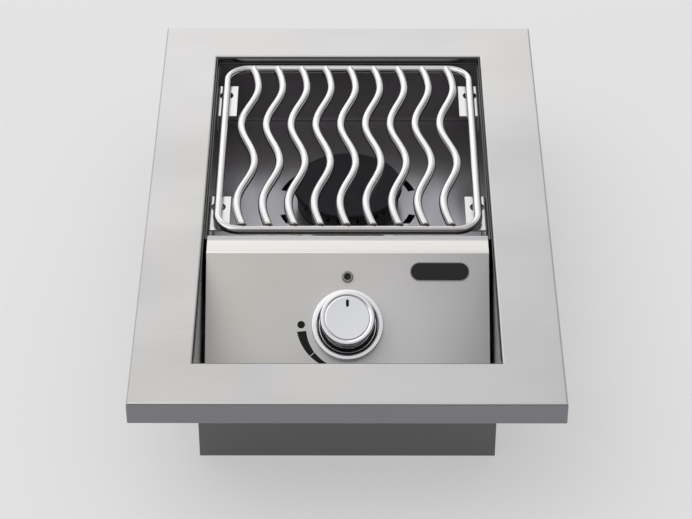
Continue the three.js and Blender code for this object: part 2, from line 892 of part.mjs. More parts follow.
function mixerTube() {
  const top = panUndersideZ - fitGap;
  const outside = join(
    mixerSkin(0),
    cylinder(mixerSocketDiameter, socketBottomZ - mixerWall, top, roundSides).translate(0, burnerY, 0),
    cylinder(mixerFlangeDiameter, top - mixerFlangeSheet, top, roundSides).translate(0, burnerY, 0),
    cylinder(mixerElbowDiameter, mixerZ, top, smallSides).translate(0, burnerY, 0),
  );
  const chamber = airChamberDiameter / 2;
  const insides = [
    mixerSkin(mixerWall),
    cylinder(headNeckDiameter + 2 * runningGap, socketBottomZ, top + overrun, roundSides),
    cylinder(mixerElbowDiameter - 2 * mixerWall, mixerZ, top, smallSides),
  ];
  insides[1].translate(0, burnerY, 0);
  insides[2].translate(0, burnerY, 0);
  const mouth = cylinder(orificeHoleDiameter, -overrun - mixerWall, overrun).rotateX(Math.PI / 2);
  mouth.translate(0, mixerMouthY, mixerZ);
  return cut(
    outside,
    ...insides,
    mouth,
    airWindow(chamber, airWindowLength, shutterMiddleY, 0),
    airWindow(chamber, airWindowLength, shutterMiddleY, Math.PI),
    ...burnerScrewHoles(top - mixerFlangeSheet - overrun, top + overrun),
  );
}

function airShutter() {
  const inner = airChamberDiameter / 2 + runningGap;
  const outer = inner + shutterSheet;
  const half = shutterLength / 2;
  const sleeve = revolve([
    [inner, -half],
    [outer, -half],
    [outer, half],
    [inner, half],
  ], smallSides).rotateX(Math.PI / 2).translate(0, shutterMiddleY, mixerZ);
  const tab = plate(rounded([
    [-shutterTabWidth / 2, inner + shutterSheet / 2],
    [shutterTabWidth / 2, inner + shutterSheet / 2],
    [shutterTabWidth / 2, outer + shutterTabHeight, shutterTabWidth / 3],
    [-shutterTabWidth / 2, outer + shutterTabHeight, shutterTabWidth / 3],
  ]), shutterSheet).rotateX(Math.PI / 2).translate(0, shutterMiddleY - half + shutterSheet, mixerZ);
  return cut(
    join(sleeve, tab),
    airWindow(outer, airWindowLength, shutterMiddleY, 0),
    airWindow(outer, airWindowLength, shutterMiddleY, Math.PI),
  );
}

// Burner stand and orifice

const standY = mixerMouthY - standGap;
const standFloorZ = boxFloorZ + fitGap;

function burnerStand() {
  const crown = mixerZ + airChamberDiameter / 2;
  const sheet = acrossX(folded([
    [standY, crown],
    [standY, standFloorZ, standBend],
    [standY + standFoot, standFloorZ],
  ], standSheet, 1), standWidth);
  const arch = new THREE.Shape();
  const half = airChamberDiameter / 2;
  arch.moveTo(-standWidth / 2, standFloorZ - overrun);
  arch.lineTo(standWidth / 2, standFloorZ - overrun);
  arch.lineTo(standWidth / 2, standFloorZ + standFoot / 2);
  arch.lineTo(half, mixerZ);
  arch.absarc(0, mixerZ, half, 0, Math.PI, false);
  arch.lineTo(-standWidth / 2, standFloorZ + standFoot / 2);
  const reach = standFoot + 2 * standGap;
  const keep = plate(arch, 2 * reach).rotateX(Math.PI / 2).translate(0, standY + reach, 0);
  const bore = cylinder(orificeHoleDiameter + 2 * fitGap, -overrun, overrun).rotateX(Math.PI / 2);
  return cut(solid(sheet).intersect(solid(keep)), bore.translate(0, standY, mixerZ));
}

function orificeHolder() {
  const shank = orificeHoleDiameter / 2 - fitGap;
  const tip = mixerWall + standGap;
  const hex = cylinder(2 * feedNutAcrossFlats / Math.sqrt(3), 0, feedNutLength, 6);
  const spud = revolve([
    [0, -tip - shank],
    [shank / 2, -tip - shank],
    [shank, -tip],
    [shank, feedNutLength],
    [0, feedNutLength],
  ], smallSides);
  const body = join(hex, spud);
  return body.rotate([90, 0, 0]).translate([0, standY - fitGap, mixerZ]);
}

// Gas valve, in the panel's frame

const bonnetTop = -panelSheet - fitGap;
const bonnetBottom = bonnetTop - bonnetPlate - bonnetLength;
const barrelTop = bonnetBottom - fitGap;
const barrelBottom = barrelTop - valveBarrelLength;
const washerTop = barrelTop - runningGap;

function stadium(halfSpan, width) {
  const half = width / 2;
  return rectangle(-halfSpan - half, halfSpan + half, -half, half, width * endRoundShare);
}

function valveBonnet() {
  const ears = plate(stadium(valveEarSpacing / 2, valveEarWidth), bonnetPlate);
  ears.translate(0, 0, bonnetTop - bonnetPlate);
  const bore = stemDiameter + 2 * runningGap;
  const tapped = screwShankDiameter + 2 * screwHoleGap;
  return cut(
    join(ears, cylinder(bonnetDiameter, bonnetBottom, bonnetTop)),
    cylinder(bore, bonnetBottom - overrun, bonnetTop + overrun),
    ...[-1, 1].map((side) => {
      const hole = cylinder(tapped, bonnetTop - bonnetPlate - overrun, bonnetTop + overrun, tinySides);
      return hole.translate(side * valveEarSpacing / 2, 0, 0);
    }),
  );
}

function valveBody() {
  const bossZ = -valveBossDepth;
  const boss = cylinder(valveBossDiameter, -valveBossReach, valveBossReach).rotateY(Math.PI / 2);
  const body = join(
    revolve([
      [0, barrelBottom - valvePlugLength],
      [valvePlugDiameter / 2, barrelBottom - valvePlugLength],
      [valvePlugDiameter / 2, barrelBottom],
      [valveBarrelDiameter / 2 - fitGap, barrelBottom],
      [valveBarrelDiameter / 2, barrelBottom + 2 * fitGap],
      [valveBarrelDiameter / 2, barrelTop],
      [0, barrelTop],
    ], smallSides),
    boss.translate(0, 0, bossZ),
  );
  const washerRoom = thrustWasherSheet + knobPush + 2 * runningGap;
  return cut(
    body,
    cylinder(thrustWasherDiameter + 2 * runningGap, barrelTop - washerRoom, barrelTop + overrun),
    cylinder(stemDiameter + 2 * runningGap, -stemDepth - knobPush - runningGap, barrelTop),
  );
}

function thrustWasher() {
  const inner = stemDiameter / 2 + runningGap;
  const outer = thrustWasherDiameter / 2;
  return revolve([
    [inner, washerTop - thrustWasherSheet],
    [outer, washerTop - thrustWasherSheet],
    [outer, washerTop],
    [inner, washerTop],
  ], smallSides);
}

// A round bar with one flat, about Z.
function flattedBar(diameter, flat, fromZ, toZ) {
  const away = block(diameter, diameter, toZ - fromZ + 2 * overrun);
  away.translate(0, diameter - flat, (fromZ + toZ) / 2);
  return cut(cylinder(diameter, fromZ, toZ), away);
}

const hubFloor = knobTop - knobRecess - knobFaceSheet - fitGap - knobDeck;
const stemTop = hubFloor - runningGap;

function valveStem() {
  const neck = knobSkirtZ;
  return join(
    cylinder(stemDiameter, -stemDepth, neck),
    flattedBar(stemDiameter, stemFlat, neck - overrun, stemTop),
  );
}

// Bezel, liner and knob, in the panel's frame

const linerFloor = 2 * fitGap + bezelFootSheet;
const linerTop = linerFloor + linerSheet;

function bezelRing() {
  const outer = bezelDiameter / 2;
  const inner = outer - bezelWall;
  const crown = bezelWall / 4;
  return revolve([
    [inner - bezelFoot, fitGap],
    [outer - crown / 2, fitGap],
    [outer, fitGap + crown],
    [outer, bezelHeight - 2 * crown],
    [outer - crown / 2, bezelHeight - crown],
    [outer - bezelCrownShares.outside * crown, bezelHeight],
    [inner + bezelCrownShares.inside * crown, bezelHeight],
    [inner + crown / 3, bezelHeight - crown / 2],
    [inner, bezelHeight - bezelCrownShares.depth * crown],
    [inner, fitGap + bezelFootSheet],
    [inner - bezelFoot, fitGap + bezelFootSheet],
  ]);
}

function bezelLiner() {
  const outer = bezelDiameter / 2 - bezelWall - fitGap;
  const bore = screwShankDiameter + 2 * screwHoleGap;
  const dish = revolve([
    [stemDiameter, linerFloor],
    [outer, linerFloor],
    [outer, linerFloor + linerHeight],
    [outer - linerSheet, linerFloor + linerHeight],
    [outer - linerSheet, linerTop],
    [stemDiameter, linerTop],
  ]);
  return cut(dish, ...[-1, 1].map((side) => {
    const hole = cylinder(bore, linerFloor - overrun, linerTop + overrun, tinySides);
    return hole.translate(side * valveEarSpacing / 2, 0, 0);
  }));
}

function knobShell() {
  const rim = knobDiameter / 2;
  const skirt = knobSkirtDiameter / 2;
  const waist = knobWaistDiameter / 2;
  const face = knobFaceDiameter / 2 + fitGap;
  const rise = knobTop - knobSkirtZ;
  const deckTop = knobTop - knobRecess - knobFaceSheet - fitGap;
  const hub = knobHubDiameter / 2;
  const inside = waist - knobWall;
  const shares = knobHeightShares;
  const height = (share) => knobSkirtZ + share * rise;
  const body = revolve([
    [0, deckTop],
    [face, deckTop],
    [face, knobTop - knobRecess],
    [face + knobRecess, knobTop],
    [rim - 3 * knobRecess, knobTop],
    [rim - knobRecess, height(shares.rimTop)],
    [rim, height(shares.rim)],
    [rim - knobRecess, height(shares.rimUnder)],
    [waist + knobRecess, height(shares.waistTop)],
    [waist, height(shares.waist)],
    [waist, height(shares.waistFoot)],
    [waist + knobRecess, height(shares.flare)],
    [skirt - knobRecess, height(shares.skirtTop)],
    [skirt, height(shares.skirt)],
    [skirt - knobRecess / 2, knobSkirtZ],
    [skirt - knobWall, knobSkirtZ],
    [inside, height(shares.inside)],
    [inside, hubFloor - knobRecess],
    [hub, hubFloor],
    [hub, height(shares.hub)],
    [0, height(shares.hub)],
  ]);
  const socket = flattedBar(stemDiameter + 2 * fitGap, stemFlat, knobSkirtZ - overrun, hubFloor);
  return cut(body, socket);
}

function knobFace() {
  const radius = knobFaceDiameter / 2;
  const top = knobTop - knobRecess;
  return revolve([
    [0, top],
    [radius - knobRecess, top],
    [radius, top - knobRecess],
    [radius, top - knobFaceSheet],
    [0, top - knobFaceSheet],
  ]);
}

// Igniter, in the panel's frame

function igniterRing() {
  const outer = igniterRingDiameter / 2;
  const inner = bushingDiameter / 2 + fitGap;
  const top = fitGap + igniterRingHeight;
  return revolve([
    [inner, fitGap],
    [outer, fitGap],
    [outer, top - fitGap],
    [outer - fitGap, top],
    [inner, top],
  ], smallSides).translate(0, buttonUpSlope, 0);
}

function igniterSwitch() {
  const top = -panelSheet - fitGap;
  const half = switchWidth / 2;
  const body = plate(rectangle(-half, half, -half, half, boxBend), switchHeight);
  const bushing = cylinder(bushingDiameter, top - panelSheet, igniterRingHeight);
  const well = plungerRise - plungerLength - plungerTravel - runningGap;
  const bore = cylinder(plungerDiameter + 2 * fitGap, well, plungerRise + overrun);
  return cut(join(body.translate(0, 0, top - switchHeight), bushing), bore).translate([0, buttonUpSlope, 0]);
}

function igniterButton() {
  const radius = plungerDiameter / 2;
  return revolve([
    [0, plungerRise - plungerLength],
    [radius, plungerRise - plungerLength],
    [radius, plungerRise - radius / 3],
    [radius * plungerDomeShare, plungerRise - radius / 8],
    [0, plungerRise],
  ], smallSides).translate(0, buttonUpSlope, 0);
}

// Spark module and electrode

function sparkModule() {
  const halfX = moduleWidth / 2;
  const halfY = moduleLength / 2;
  const lid = moduleHeight / 5;
  const body = plate(rectangle(-halfX, halfX, -halfY, halfY, moduleCorner), moduleHeight - lid);
  const inset = moduleCorner / 2;
  const cover = rectangle(-halfX + inset, halfX - inset, -halfY + inset, halfY - inset, moduleCorner);
  const raised = plate(cover, lid).translate(0, 0, moduleHeight - lid);
  const terminals = [-1, 1].map((side) => {
    const post = cylinder(modulePostDiameter, -moduleCorner, moduleCorner, tinySides).rotateX(Math.PI / 2);
    return post.translate(side * moduleWidth / 4, halfY, moduleHeight / 2);
  });
  return join(body, raised, ...terminals).translate([moduleX, moduleY, standFloorZ]);
}

function electrodeInsulator() {
  const radius = ceramicDiameter / 2;
  const seat = panFloorZ + fitGap;
  const collar = ceramicCollarDiameter / 2;
  const bore = electrodeDiameter / 2 + fitGap;
  return revolve([
    [bore, panUndersideZ - ceramicTail],
    [radius, panUndersideZ - ceramicTail],
    [radius, seat],
    [collar, seat],
    [collar, seat + ceramicCollarHeight],
    [radius, seat + ceramicCollarHeight],
    [radius * ceramicTipShare, seat + ceramicRise],
    [bore, seat + ceramicRise],
  ], smallSides).translate(electrodeX, electrodeY, 0);
}

function electrodeClip() {
  const inner = ceramicDiameter / 2 + fitGap;
  const top = panUndersideZ - fitGap;
  return revolve([
    [inner, top - panSheet],
    [inner + ceramicCollarHeight, top - panSheet],
    [inner + ceramicCollarHeight, top],
    [inner, top],
  ], smallSides).translate(electrodeX, electrodeY, 0);
}

const electrodeTailZ = panUndersideZ - ceramicTail - 2 * ceramicCollarHeight;

function electrodeWire() {
  const tip = headDiameter / 2 + electrodeTipGap;
  const top = panFloorZ + ceramicRise + ceramicCollarHeight;
  const bend = electrodeDiameter;
  const towards = (radius) => [
    radius * Math.cos(electrodeAngle),
    burnerY + radius * Math.sin(electrodeAngle),
  ];
  return bar(bentPath([
    new THREE.Vector3(electrodeX, electrodeY, electrodeTailZ),
    new THREE.Vector3(electrodeX, electrodeY, top),
    new THREE.Vector3(...towards(tip), top),
  ], bend / 2), electrodeDiameter, electrodeSteps, electrodeSides);
}

// Gas line

const valveBoss = (side, reach) => {
  return new THREE.Vector3(side * reach, 0, -valveBossDepth).applyMatrix4(panelFrame);
};

const inletInnerY = boxRearY - boxSheet - inletTail;

function supplyTube() {
  const start = valveBoss(1, valveBossReach + fitGap);
  return bar(bentPath([
    start,
    new THREE.Vector3(inletX, start.y, start.z),
    new THREE.Vector3(inletX, start.y, mixerZ),
    new THREE.Vector3(inletX, inletInnerY - fitGap, mixerZ),
  ], tubeBend * supplyBendShare), tubeDiameter, supplySteps, tubeSides);
}

function supplyNutAtValve() {
  const nut = hexNut(nutAcrossFlats, nutLength, tubeDiameter + 2 * fitGap);
  const at = valveBoss(1, valveBossReach + 2 * fitGap);
  return nut.rotate([0, 90, 0]).translate([at.x, at.y, at.z]);
}

function supplyNutAtInlet() {
  const nut = hexNut(nutAcrossFlats, nutLength, tubeDiameter + 2 * fitGap);
  return nut.rotate([90, 0, 0]).translate([inletX, inletInnerY - 2 * fitGap, mixerZ]);
}

function gasInlet() {
  const radius = inletDiameter / 2;
  const collar = radius + inletHexLength / 2;
  const inside = boxSheet + inletTail;
  const body = revolve([
    [0, -inside],
    [radius - runningGap, -inside],
    [radius - runningGap, fitGap],
    [collar, fitGap],
    [collar, fitGap + inletHexLength],
    [radius, fitGap + inletHexLength],
    [radius, inletReach - fitGap * 2],
    [radius - fitGap * 2, inletReach],
    [0, inletReach],
  ], smallSides * 1.5);
  const bore = cylinder(inletBore, fitGap, inletReach + overrun);
  return cut(body, bore).rotate([-90, 0, 0]).translate([inletX, boxRearY, mixerZ]);
}

function inletLockNut() {
  const nut = hexNut(inletHexAcrossFlats, inletHexLength, inletDiameter);
  return nut.rotate([90, 0, 0]).translate([inletX, boxRearY - boxSheet - fitGap, mixerZ]);
}

function feedTube() {
  const start = valveBoss(-1, valveBossReach + fitGap);
  const side = -valveBossReach - 2 * tubeBend;
  const endY = standY - feedNutLength - 2 * fitGap;
  const turnY = endY - 2 * tubeBend;
  return bar(bentPath([
    start,
    new THREE.Vector3(side, start.y, start.z),
    new THREE.Vector3(side, turnY, mixerZ),
    new THREE.Vector3(0, turnY, mixerZ),
    new THREE.Vector3(0, endY, mixerZ),
  ], tubeBend * feedBendShare), feedTubeDiameter, feedSteps, tubeSides);
}

function feedNutAtValve() {
  const nut = hexNut(feedNutAcrossFlats, feedNutLength, feedTubeDiameter + 2 * fitGap);
  const at = valveBoss(-1, valveBossReach + 2 * fitGap);
  return nut.rotate([0, -90, 0]).translate([at.x, at.y, at.z]);
}

// The assembly

const sideBurner = new THREE.Group();
const assembly = new THREE.Group();
assembly.position.z = overallHeight;
sideBurner.add(assembly);

const panelGroup = new THREE.Group();
panelGroup.position.set(0, knobY, knobZ);
panelGroup.rotation.x = panelSlope;
assembly.add(panelGroup);

function add(parent, name, shape, finish) {
  const material = new THREE.MeshStandardMaterial({ ...finishes[finish], flatShading: true });
  const mesh = new THREE.Mesh(geometryOf(solid(shape)), material);
  mesh.name = name;
  parent.add(mesh);
}

add(assembly, 'trim_frame', trimFrame(), 'brushedSteel');
add(assembly, 'burner_box', burnerBox(), 'shellSteel');
add(assembly, 'burner_pan', burnerPan(), 'polishedSteel');
add(assembly, 'control_panel', controlPanel(), 'brushedSteel');

for (const [row, rowName] of [[pegRows[1], 'rear'], [pegRows[0], 'front']]) {
  for (const [side, sideName] of [[-1, 'left'], [1, 'right']]) {
    add(assembly, `grate_bracket_${rowName}_${sideName}`, grateBracket(side, burnerY + row), 'rodSteel');
  }
}
add(assembly, 'grate_frame', grateFrame(), 'rodSteel');
for (let i = 0; i < rodCount; i += 1) {
  add(assembly, `grate_rod_${i + 1}`, grateRod(i), 'rodSteel');
}

add(assembly, 'burner_cap', burnerCap(), 'blackEnamel');
add(assembly, 'burner_head', burnerHead(), 'castAluminium');
add(assembly, 'mixer_tube', mixerTube(), 'castAluminium');
add(assembly, 'air_shutter', airShutter(), 'shellSteel');
add(assembly, 'burner_stand', burnerStand(), 'shellSteel');
add(assembly, 'orifice_holder', orificeHolder(), 'brass');

add(panelGroup, 'valve_bonnet', valveBonnet(), 'greyMetal');
add(panelGroup, 'valve_body', valveBody(), 'castAluminium');
add(panelGroup, 'thrust_washer', thrustWasher(), 'greyMetal');
add(panelGroup, 'valve_stem', valveStem(), 'brass');
add(panelGroup, 'bezel_ring', bezelRing(), 'chrome');
add(panelGroup, 'bezel_liner', bezelLiner(), 'blackPlastic');
add(panelGroup, 'knob_shell', knobShell(), 'chrome');
add(panelGroup, 'knob_face', knobFace(), 'satinChrome');

add(panelGroup, 'igniter_ring', igniterRing(), 'greyMetal');
add(panelGroup, 'igniter_switch', igniterSwitch(), 'blackPlastic');
add(panelGroup, 'igniter_button', igniterButton(), 'blackPlastic');
add(assembly, 'spark_module', sparkModule(), 'blackPlastic');
add(assembly, 'electrode_insulator', electrodeInsulator(), 'ceramic');
add(assembly, 'electrode_clip', electrodeClip(), 'shellSteel');
add(assembly, 'electrode_wire', electrodeWire(), 'shellSteel');

add(assembly, 'supply_tube', supplyTube(), 'shellSteel');
add(assembly, 'supply_nut_valve', supplyNutAtValve(), 'brass');
add(assembly, 'supply_nut_inlet', supplyNutAtInlet(), 'brass');
add(assembly, 'gas_inlet', gasInlet(), 'brass');
add(assembly, 'inlet_lock_nut', inletLockNut(), 'brass');
add(assembly, 'feed_tube', feedTube(), 'shellSteel');
add(assembly, 'feed_nut_valve', feedNutAtValve(), 'brass');

export default sideBurner;
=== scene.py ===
# %% [markdown]
# # A built-in side burner
# The real object is folded stainless sheet, bent rod, one small burner and one big knob, so nearly everything
# that the eye reads is metal and what the metal reflects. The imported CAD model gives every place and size.
# It could be rendered as it is, but its edges are hard and its curves have facets. So this script gives each
# piece its finish, finer edges and rounder curves, and then a floor, light and a camera.

# %% Load the frame
import json
import math
import bmesh
import bpy
from mathutils import Matrix, Vector, noise


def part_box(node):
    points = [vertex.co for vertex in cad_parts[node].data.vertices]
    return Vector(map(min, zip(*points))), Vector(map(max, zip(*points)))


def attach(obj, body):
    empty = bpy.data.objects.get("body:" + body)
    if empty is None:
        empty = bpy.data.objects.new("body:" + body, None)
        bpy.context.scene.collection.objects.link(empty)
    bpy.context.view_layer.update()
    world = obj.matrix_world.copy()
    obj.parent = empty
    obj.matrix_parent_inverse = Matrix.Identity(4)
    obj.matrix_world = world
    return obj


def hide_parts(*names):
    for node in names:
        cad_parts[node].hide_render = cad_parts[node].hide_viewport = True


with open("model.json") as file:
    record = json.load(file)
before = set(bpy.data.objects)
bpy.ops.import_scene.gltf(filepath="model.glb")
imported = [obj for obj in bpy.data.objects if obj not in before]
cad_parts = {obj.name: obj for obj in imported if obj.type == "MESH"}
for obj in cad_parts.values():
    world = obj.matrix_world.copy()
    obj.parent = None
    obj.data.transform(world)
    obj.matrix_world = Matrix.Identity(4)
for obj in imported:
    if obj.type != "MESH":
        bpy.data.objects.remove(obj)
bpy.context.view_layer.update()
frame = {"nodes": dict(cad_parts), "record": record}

# %% [markdown]
# ## Places taken from the frame
# The knob, its bezel and the igniter stand square on a sloped panel. Their points could be worked out one by
# one in the scene's axes, but in the panel's own axes their sizes stay plain. A single matrix then carries
# those pieces to where the knob's joint says the panel is.

# %% Millimetres and the panel's axes
MM = 0.001
joints = {joint["name"]: joint for joint in frame["record"]["behaviour"]["joints"]}
panel_normal = Vector(joints["knob_turn"]["axis"])
knob_base = Vector(joints["knob_turn"]["pos_m"])
panel_slope = math.atan2(-panel_normal.y, panel_normal.z)
on_panel = Matrix.Translation(knob_base) @ Matrix.Rotation(panel_slope, 4, "X")
print("panel slope", round(math.degrees(panel_slope), 2))


def middle(node):
    """The centre of a CAD node's box."""
    low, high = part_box(node)
    return (Vector(low) + Vector(high)) / 2


def size(node):
    """The lengths of a CAD node's box."""
    low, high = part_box(node)
    return Vector(high) - Vector(low)


# %% [markdown]
# ## Sums inside a node tree
# Shader and geometry trees both do arithmetic with Math nodes, which are tedious to wire by hand. Wrapping a
# socket in a small class lets a sum be written as a Python expression, and each operator then adds its node.

# %% A number in a tree, and a tree that makes nodes
class Number:
    """A socket on which Python sums can be written."""

    def __init__(self, graph, socket):
        self.graph = graph
        self.socket = socket

    def math(self, operation, *terms):
        return self.graph.node("ShaderNodeMath", {"operation": operation}, terms)

    def __add__(self, other):
        return self.math("ADD", self, other)

    def __sub__(self, other):
        return self.math("SUBTRACT", self, other)

    def __rsub__(self, other):
        return self.math("SUBTRACT", other, self)

    def __mul__(self, other):
        return self.math("MULTIPLY", self, other)

    def __truediv__(self, other):
        return self.math("DIVIDE", self, other)

    def __pow__(self, other):
        return self.math("POWER", self, other)

    __radd__, __rmul__ = __add__, __mul__


class Graph:
    """A node tree whose nodes are all made by one method."""

    def __init__(self, tree):
        self.tree = tree

    def node(self, kind, settings=None, inputs=(), output=0):
        made = self.tree.nodes.new(kind)
        for label, value in (settings or {}).items():
            setattr(made, label, value)
        pairs = inputs.items() if isinstance(inputs, dict) else enumerate(inputs)
        for label, value in pairs:
            self.feed(made.inputs[label], value)
        return Number(self, made.outputs[output])

    def feed(self, socket, value):
        if isinstance(value, Number):
            self.tree.links.new(value.socket, socket)
        else:
            socket.default_value = value

    def parts(self, vector):
        split = self.node("ShaderNodeSeparateXYZ", {}, [vector]).socket.node
        return [Number(self, socket) for socket in split.outputs]

    def vector(self, *parts):
        return self.node("ShaderNodeCombineXYZ", {}, parts)


# %% [markdown]
# ## A finish
# A finish is a material with a Principled shader. Its patterns could be pictures, but then every mesh has to
# be unwrapped first. Noise that reads Object coordinates needs no unwrapping, its grain stays on the sheet
# when a piece moves, and a Mapping node stretches it: brushed steel is only noise pulled out long.

# %% The finish class
class Finish(Graph):
    """A material: constants go on the shader's own sockets, patterns are linked to them."""

    def __init__(self, name, **constants):
        self.material = bpy.data.materials.new(name)
        self.material.use_nodes = True
        super().__init__(self.material.node_tree)
        self.shader = self.tree.nodes["Principled BSDF"]
        self.dress(**constants)

    def dress(self, **values):
        """Feeds the shader's sockets and hands back the material."""
        for label, value in values.items():
            self.feed(self.shader.inputs[label.replace("_", " ")], value)
        return self.material

    def place(self, scale=(1, 1, 1), at=(0, 0, 0), turn=(0, 0, 0)):
        """Object coordinates seen from a place, turned, then stretched."""
        spot = self.node("ShaderNodeTexCoord", output="Object")
        inward = self.node("ShaderNodeMapping", {"vector_type": "TEXTURE"}, [spot, at, turn])
        return self.node("ShaderNodeMapping", {}, [inward, (0, 0, 0), (0, 0, 0), scale])

    def spot(self):
        """The X, Y and Z of the Object coordinates."""
        return self.parts(self.place())

    def clouds(self, vector, detail, rough=0.5):
        sockets = {"Vector": vector, "Scale": 1.0, "Detail": detail, "Roughness": rough}
        return self.node("ShaderNodeTexNoise", {}, sockets)

    def grain(self, stretch, detail, rough=0.5):
        """Noise in the piece's own coordinates; a large stretch along an axis makes it fine there."""
        return self.clouds(self.place(stretch), detail, rough)

    def ease(self, value, low, high):
        """A smooth step from zero to one between two values."""
        settings = {"interpolation_type": "SMOOTHSTEP"}
        return self.node("ShaderNodeMapRange", settings, [value, low, high, 0.0, 1.0])

    def band(self, value, low, high, soft):
        """One between two values and zero outside them."""
        return self.ease(value, low - soft, low) * self.ease(value, high + soft, high)

    def blend(self, factor, first, second):
        return self.node("ShaderNodeMix", {"data_type": "RGBA"}, {0: factor, 6: first, 7: second}, output=2)

    def zoned(self, colour, roughness, zones):
        """Lays zones over a finish: each is a mask with its own grey level, tint and roughness."""
        for mask, level, tint, own_roughness in zones:
            inside = mask(self)
            colour = self.blend(inside, colour, grey(level, *tint))
            roughness = roughness + (own_roughness - roughness) * inside
        return colour, roughness

    def bump(self, height, strength, distance):
        sockets = {"Strength": strength, "Distance": distance, "Height": height}
        return self.node("ShaderNodeBump", {}, sockets)


def grey(level, warmth=0.0, rose=0.0):
    """A nearly neutral colour; warmth leans to yellow, or to blue below zero, and rose leaves green out."""
    return (level * (1 + warmth), level * (1 - rose), level * (1 - 2 * warmth), 1.0)


# %% [markdown]
# ## Brushed and rolled stainless steel
# The trim and the panel are brushed along X, in one direction over the whole sheet, also round the corners.
# An anisotropic shader could stretch the highlights, but it shows no scratch up close. So fine long scratches
# go into the bump and the roughness, and a slow cloudiness into the colour, as on a sheet that was never
# perfectly flat. Rolled sheet isn't brushed: it is nearly a mirror, with a slow wave in it.

# %% Brushed and rolled steel
def brushed_steel(name, level, warmth, roughness, depth, cloud, zones):
    """Brushed sheet, with zones of another finish laid over it."""
    finish = Finish(name, Metallic=1.0)
    scratch = finish.grain((26, 1500, 1500), 4.0, rough=0.6)
    hair = finish.grain((90, 5200, 5200), 2.0)
    haze = finish.grain((5, 9, 9), 2.0)
    hue = finish.ease(finish.grain((11, 4, 4), 2.0), 0.35, 0.65)
    shade = finish.ease(haze * 0.7 + scratch * 0.3, 0.3, 0.7)
    low, high = level * (1 - cloud), level * (1 + cloud)
    dull = finish.blend(hue, grey(low, warmth + 0.008), grey(low, warmth * 0.2, 0.014))
    clear = finish.blend(hue, grey(high, warmth + 0.004), grey(high, warmth * 0.2, 0.012))
    colour = finish.blend(shade, dull, clear)
    colour, roughness = finish.zoned(colour, roughness, zones)
    return finish.dress(
        Base_Color=colour,
        Roughness=roughness + 0.14 * (scratch - 0.5) + 0.05 * (haze - 0.5),
        Normal=finish.bump(scratch * 0.65 + hair * 0.35, 0.35, depth),
    )


def rolled_steel(name, level, roughness, zones, wave=0.0003, tint=(-0.02, 0.025)):
    """Bright annealed sheet: almost a mirror, with a slow wave, and zones of another finish laid over it."""
    finish = Finish(name, Metallic=1.0)
    swell = finish.grain((14, 14, 14), 1.0)
    drawn = finish.grain((40, 40, 40), 4.0)
    colour = finish.blend(drawn, grey(level * 0.94, *tint), grey(level * 1.04, *tint))
    colour, roughness = finish.zoned(colour, roughness, zones)
    return finish.dress(
        Base_Color=colour,
        Roughness=roughness + 0.08 * (drawn - 0.5) + 0.05 * (swell - 0.5),
        Normal=finish.bump(swell, 0.25, wave),
    )


# %% [markdown]
# ### Where the trim and the panel change their finish
# The trim's folds are darker, partly their mill finish and partly painted shade. The panel gets painted shade
# towards its right end and along the rear of its flat, and its flat is brushed finer and lighter, a painted
# highlight. Each such
# zone could be a second material on chosen faces, with a hard border between them. A mask that is worked out
# from the place on the sheet needs no chosen faces, and fades as softly as the real border does.

# %% Trim steel and panel steel
trim_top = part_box("trim_frame")[1][2]
_, panel_rear, panel_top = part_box("control_panel")[1]


def trim_folds_painted_shade(finish):
    """One below the trim's flat top, on the lip and the skirt, which are darker: partly their mill finish,
    partly painted shade.
    """
    return finish.ease(finish.spot()[2], trim_top - 0.4 * MM, trim_top - 1.8 * MM)


def painted_highlight_flat(finish):
    """One on the panel's narrow flat top, which is brushed finer; its lighter grey is a painted highlight."""
    return finish.ease(finish.spot()[2], panel_top - 1.2 * MM, panel_top - 0.4 * MM)


def painted_shade_hook(finish):
    """One along the rear of that flat, darkened with painted shade where it turns down."""
    back = finish.spot()[1]
    return painted_highlight_flat(finish) * finish.ease(back, panel_rear - 11 * MM, panel_rear - 7.5 * MM)


def painted_shade_right(finish):
    """Grows towards the panel's right end, which is darkened there with painted shade."""
    return finish.ease(finish.spot()[0], 20 * MM, 160 * MM) * 0.8


trim_steel = brushed_steel("trim_brushed_steel", 0.69, 0.01, 0.30, 0.00006, cloud=0.07, zones=[
    # The folds' darker grey is partly mill finish and partly painted shade.
    (trim_folds_painted_shade, 0.26, (-0.02, 0.03), 0.3),
])
panel_steel = brushed_steel("panel_brushed_steel", 0.69, 0.02, 0.44, 0.00004, cloud=0.08, zones=[
    # Painted shade towards the panel's right end.
    (painted_shade_right, 0.43, (0.012, 0.006), 0.4),
    # The flat: finer brushing, and a lighter grey that is a painted highlight.
    (painted_highlight_flat, 0.9, (0.02,), 0.2),
    # Painted shade along the rear of the flat.
    (painted_shade_hook, 0.57, (0.0, 0.01), 0.25),
])
print("brushed finishes", len(bpy.data.materials))

# %% [markdown]
# ### The shell and the pan
# The shell is dark rolled sheet, with painted shade on its outside and on its top edge, apart from the edge's
# front run. The pan is brighter and scoured rougher on its walls, darker towards the rear, and painted shade
# lies on its walls, its rim and the fold at its floor. Painting by hand could show all that, but it depends
# only on how high and how deep in the box a spot lies, so the masks measure just those.

# %% Shell steel and pan steel
box_low, box_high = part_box("burner_box")
pan_low, pan_rim = (corner[2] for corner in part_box("burner_pan"))
pan_floor = pan_low + MM
LEDGE_FRONT, LEDGE = -202.6 * MM, 104 * MM
RIM_FRONT = -225 * MM


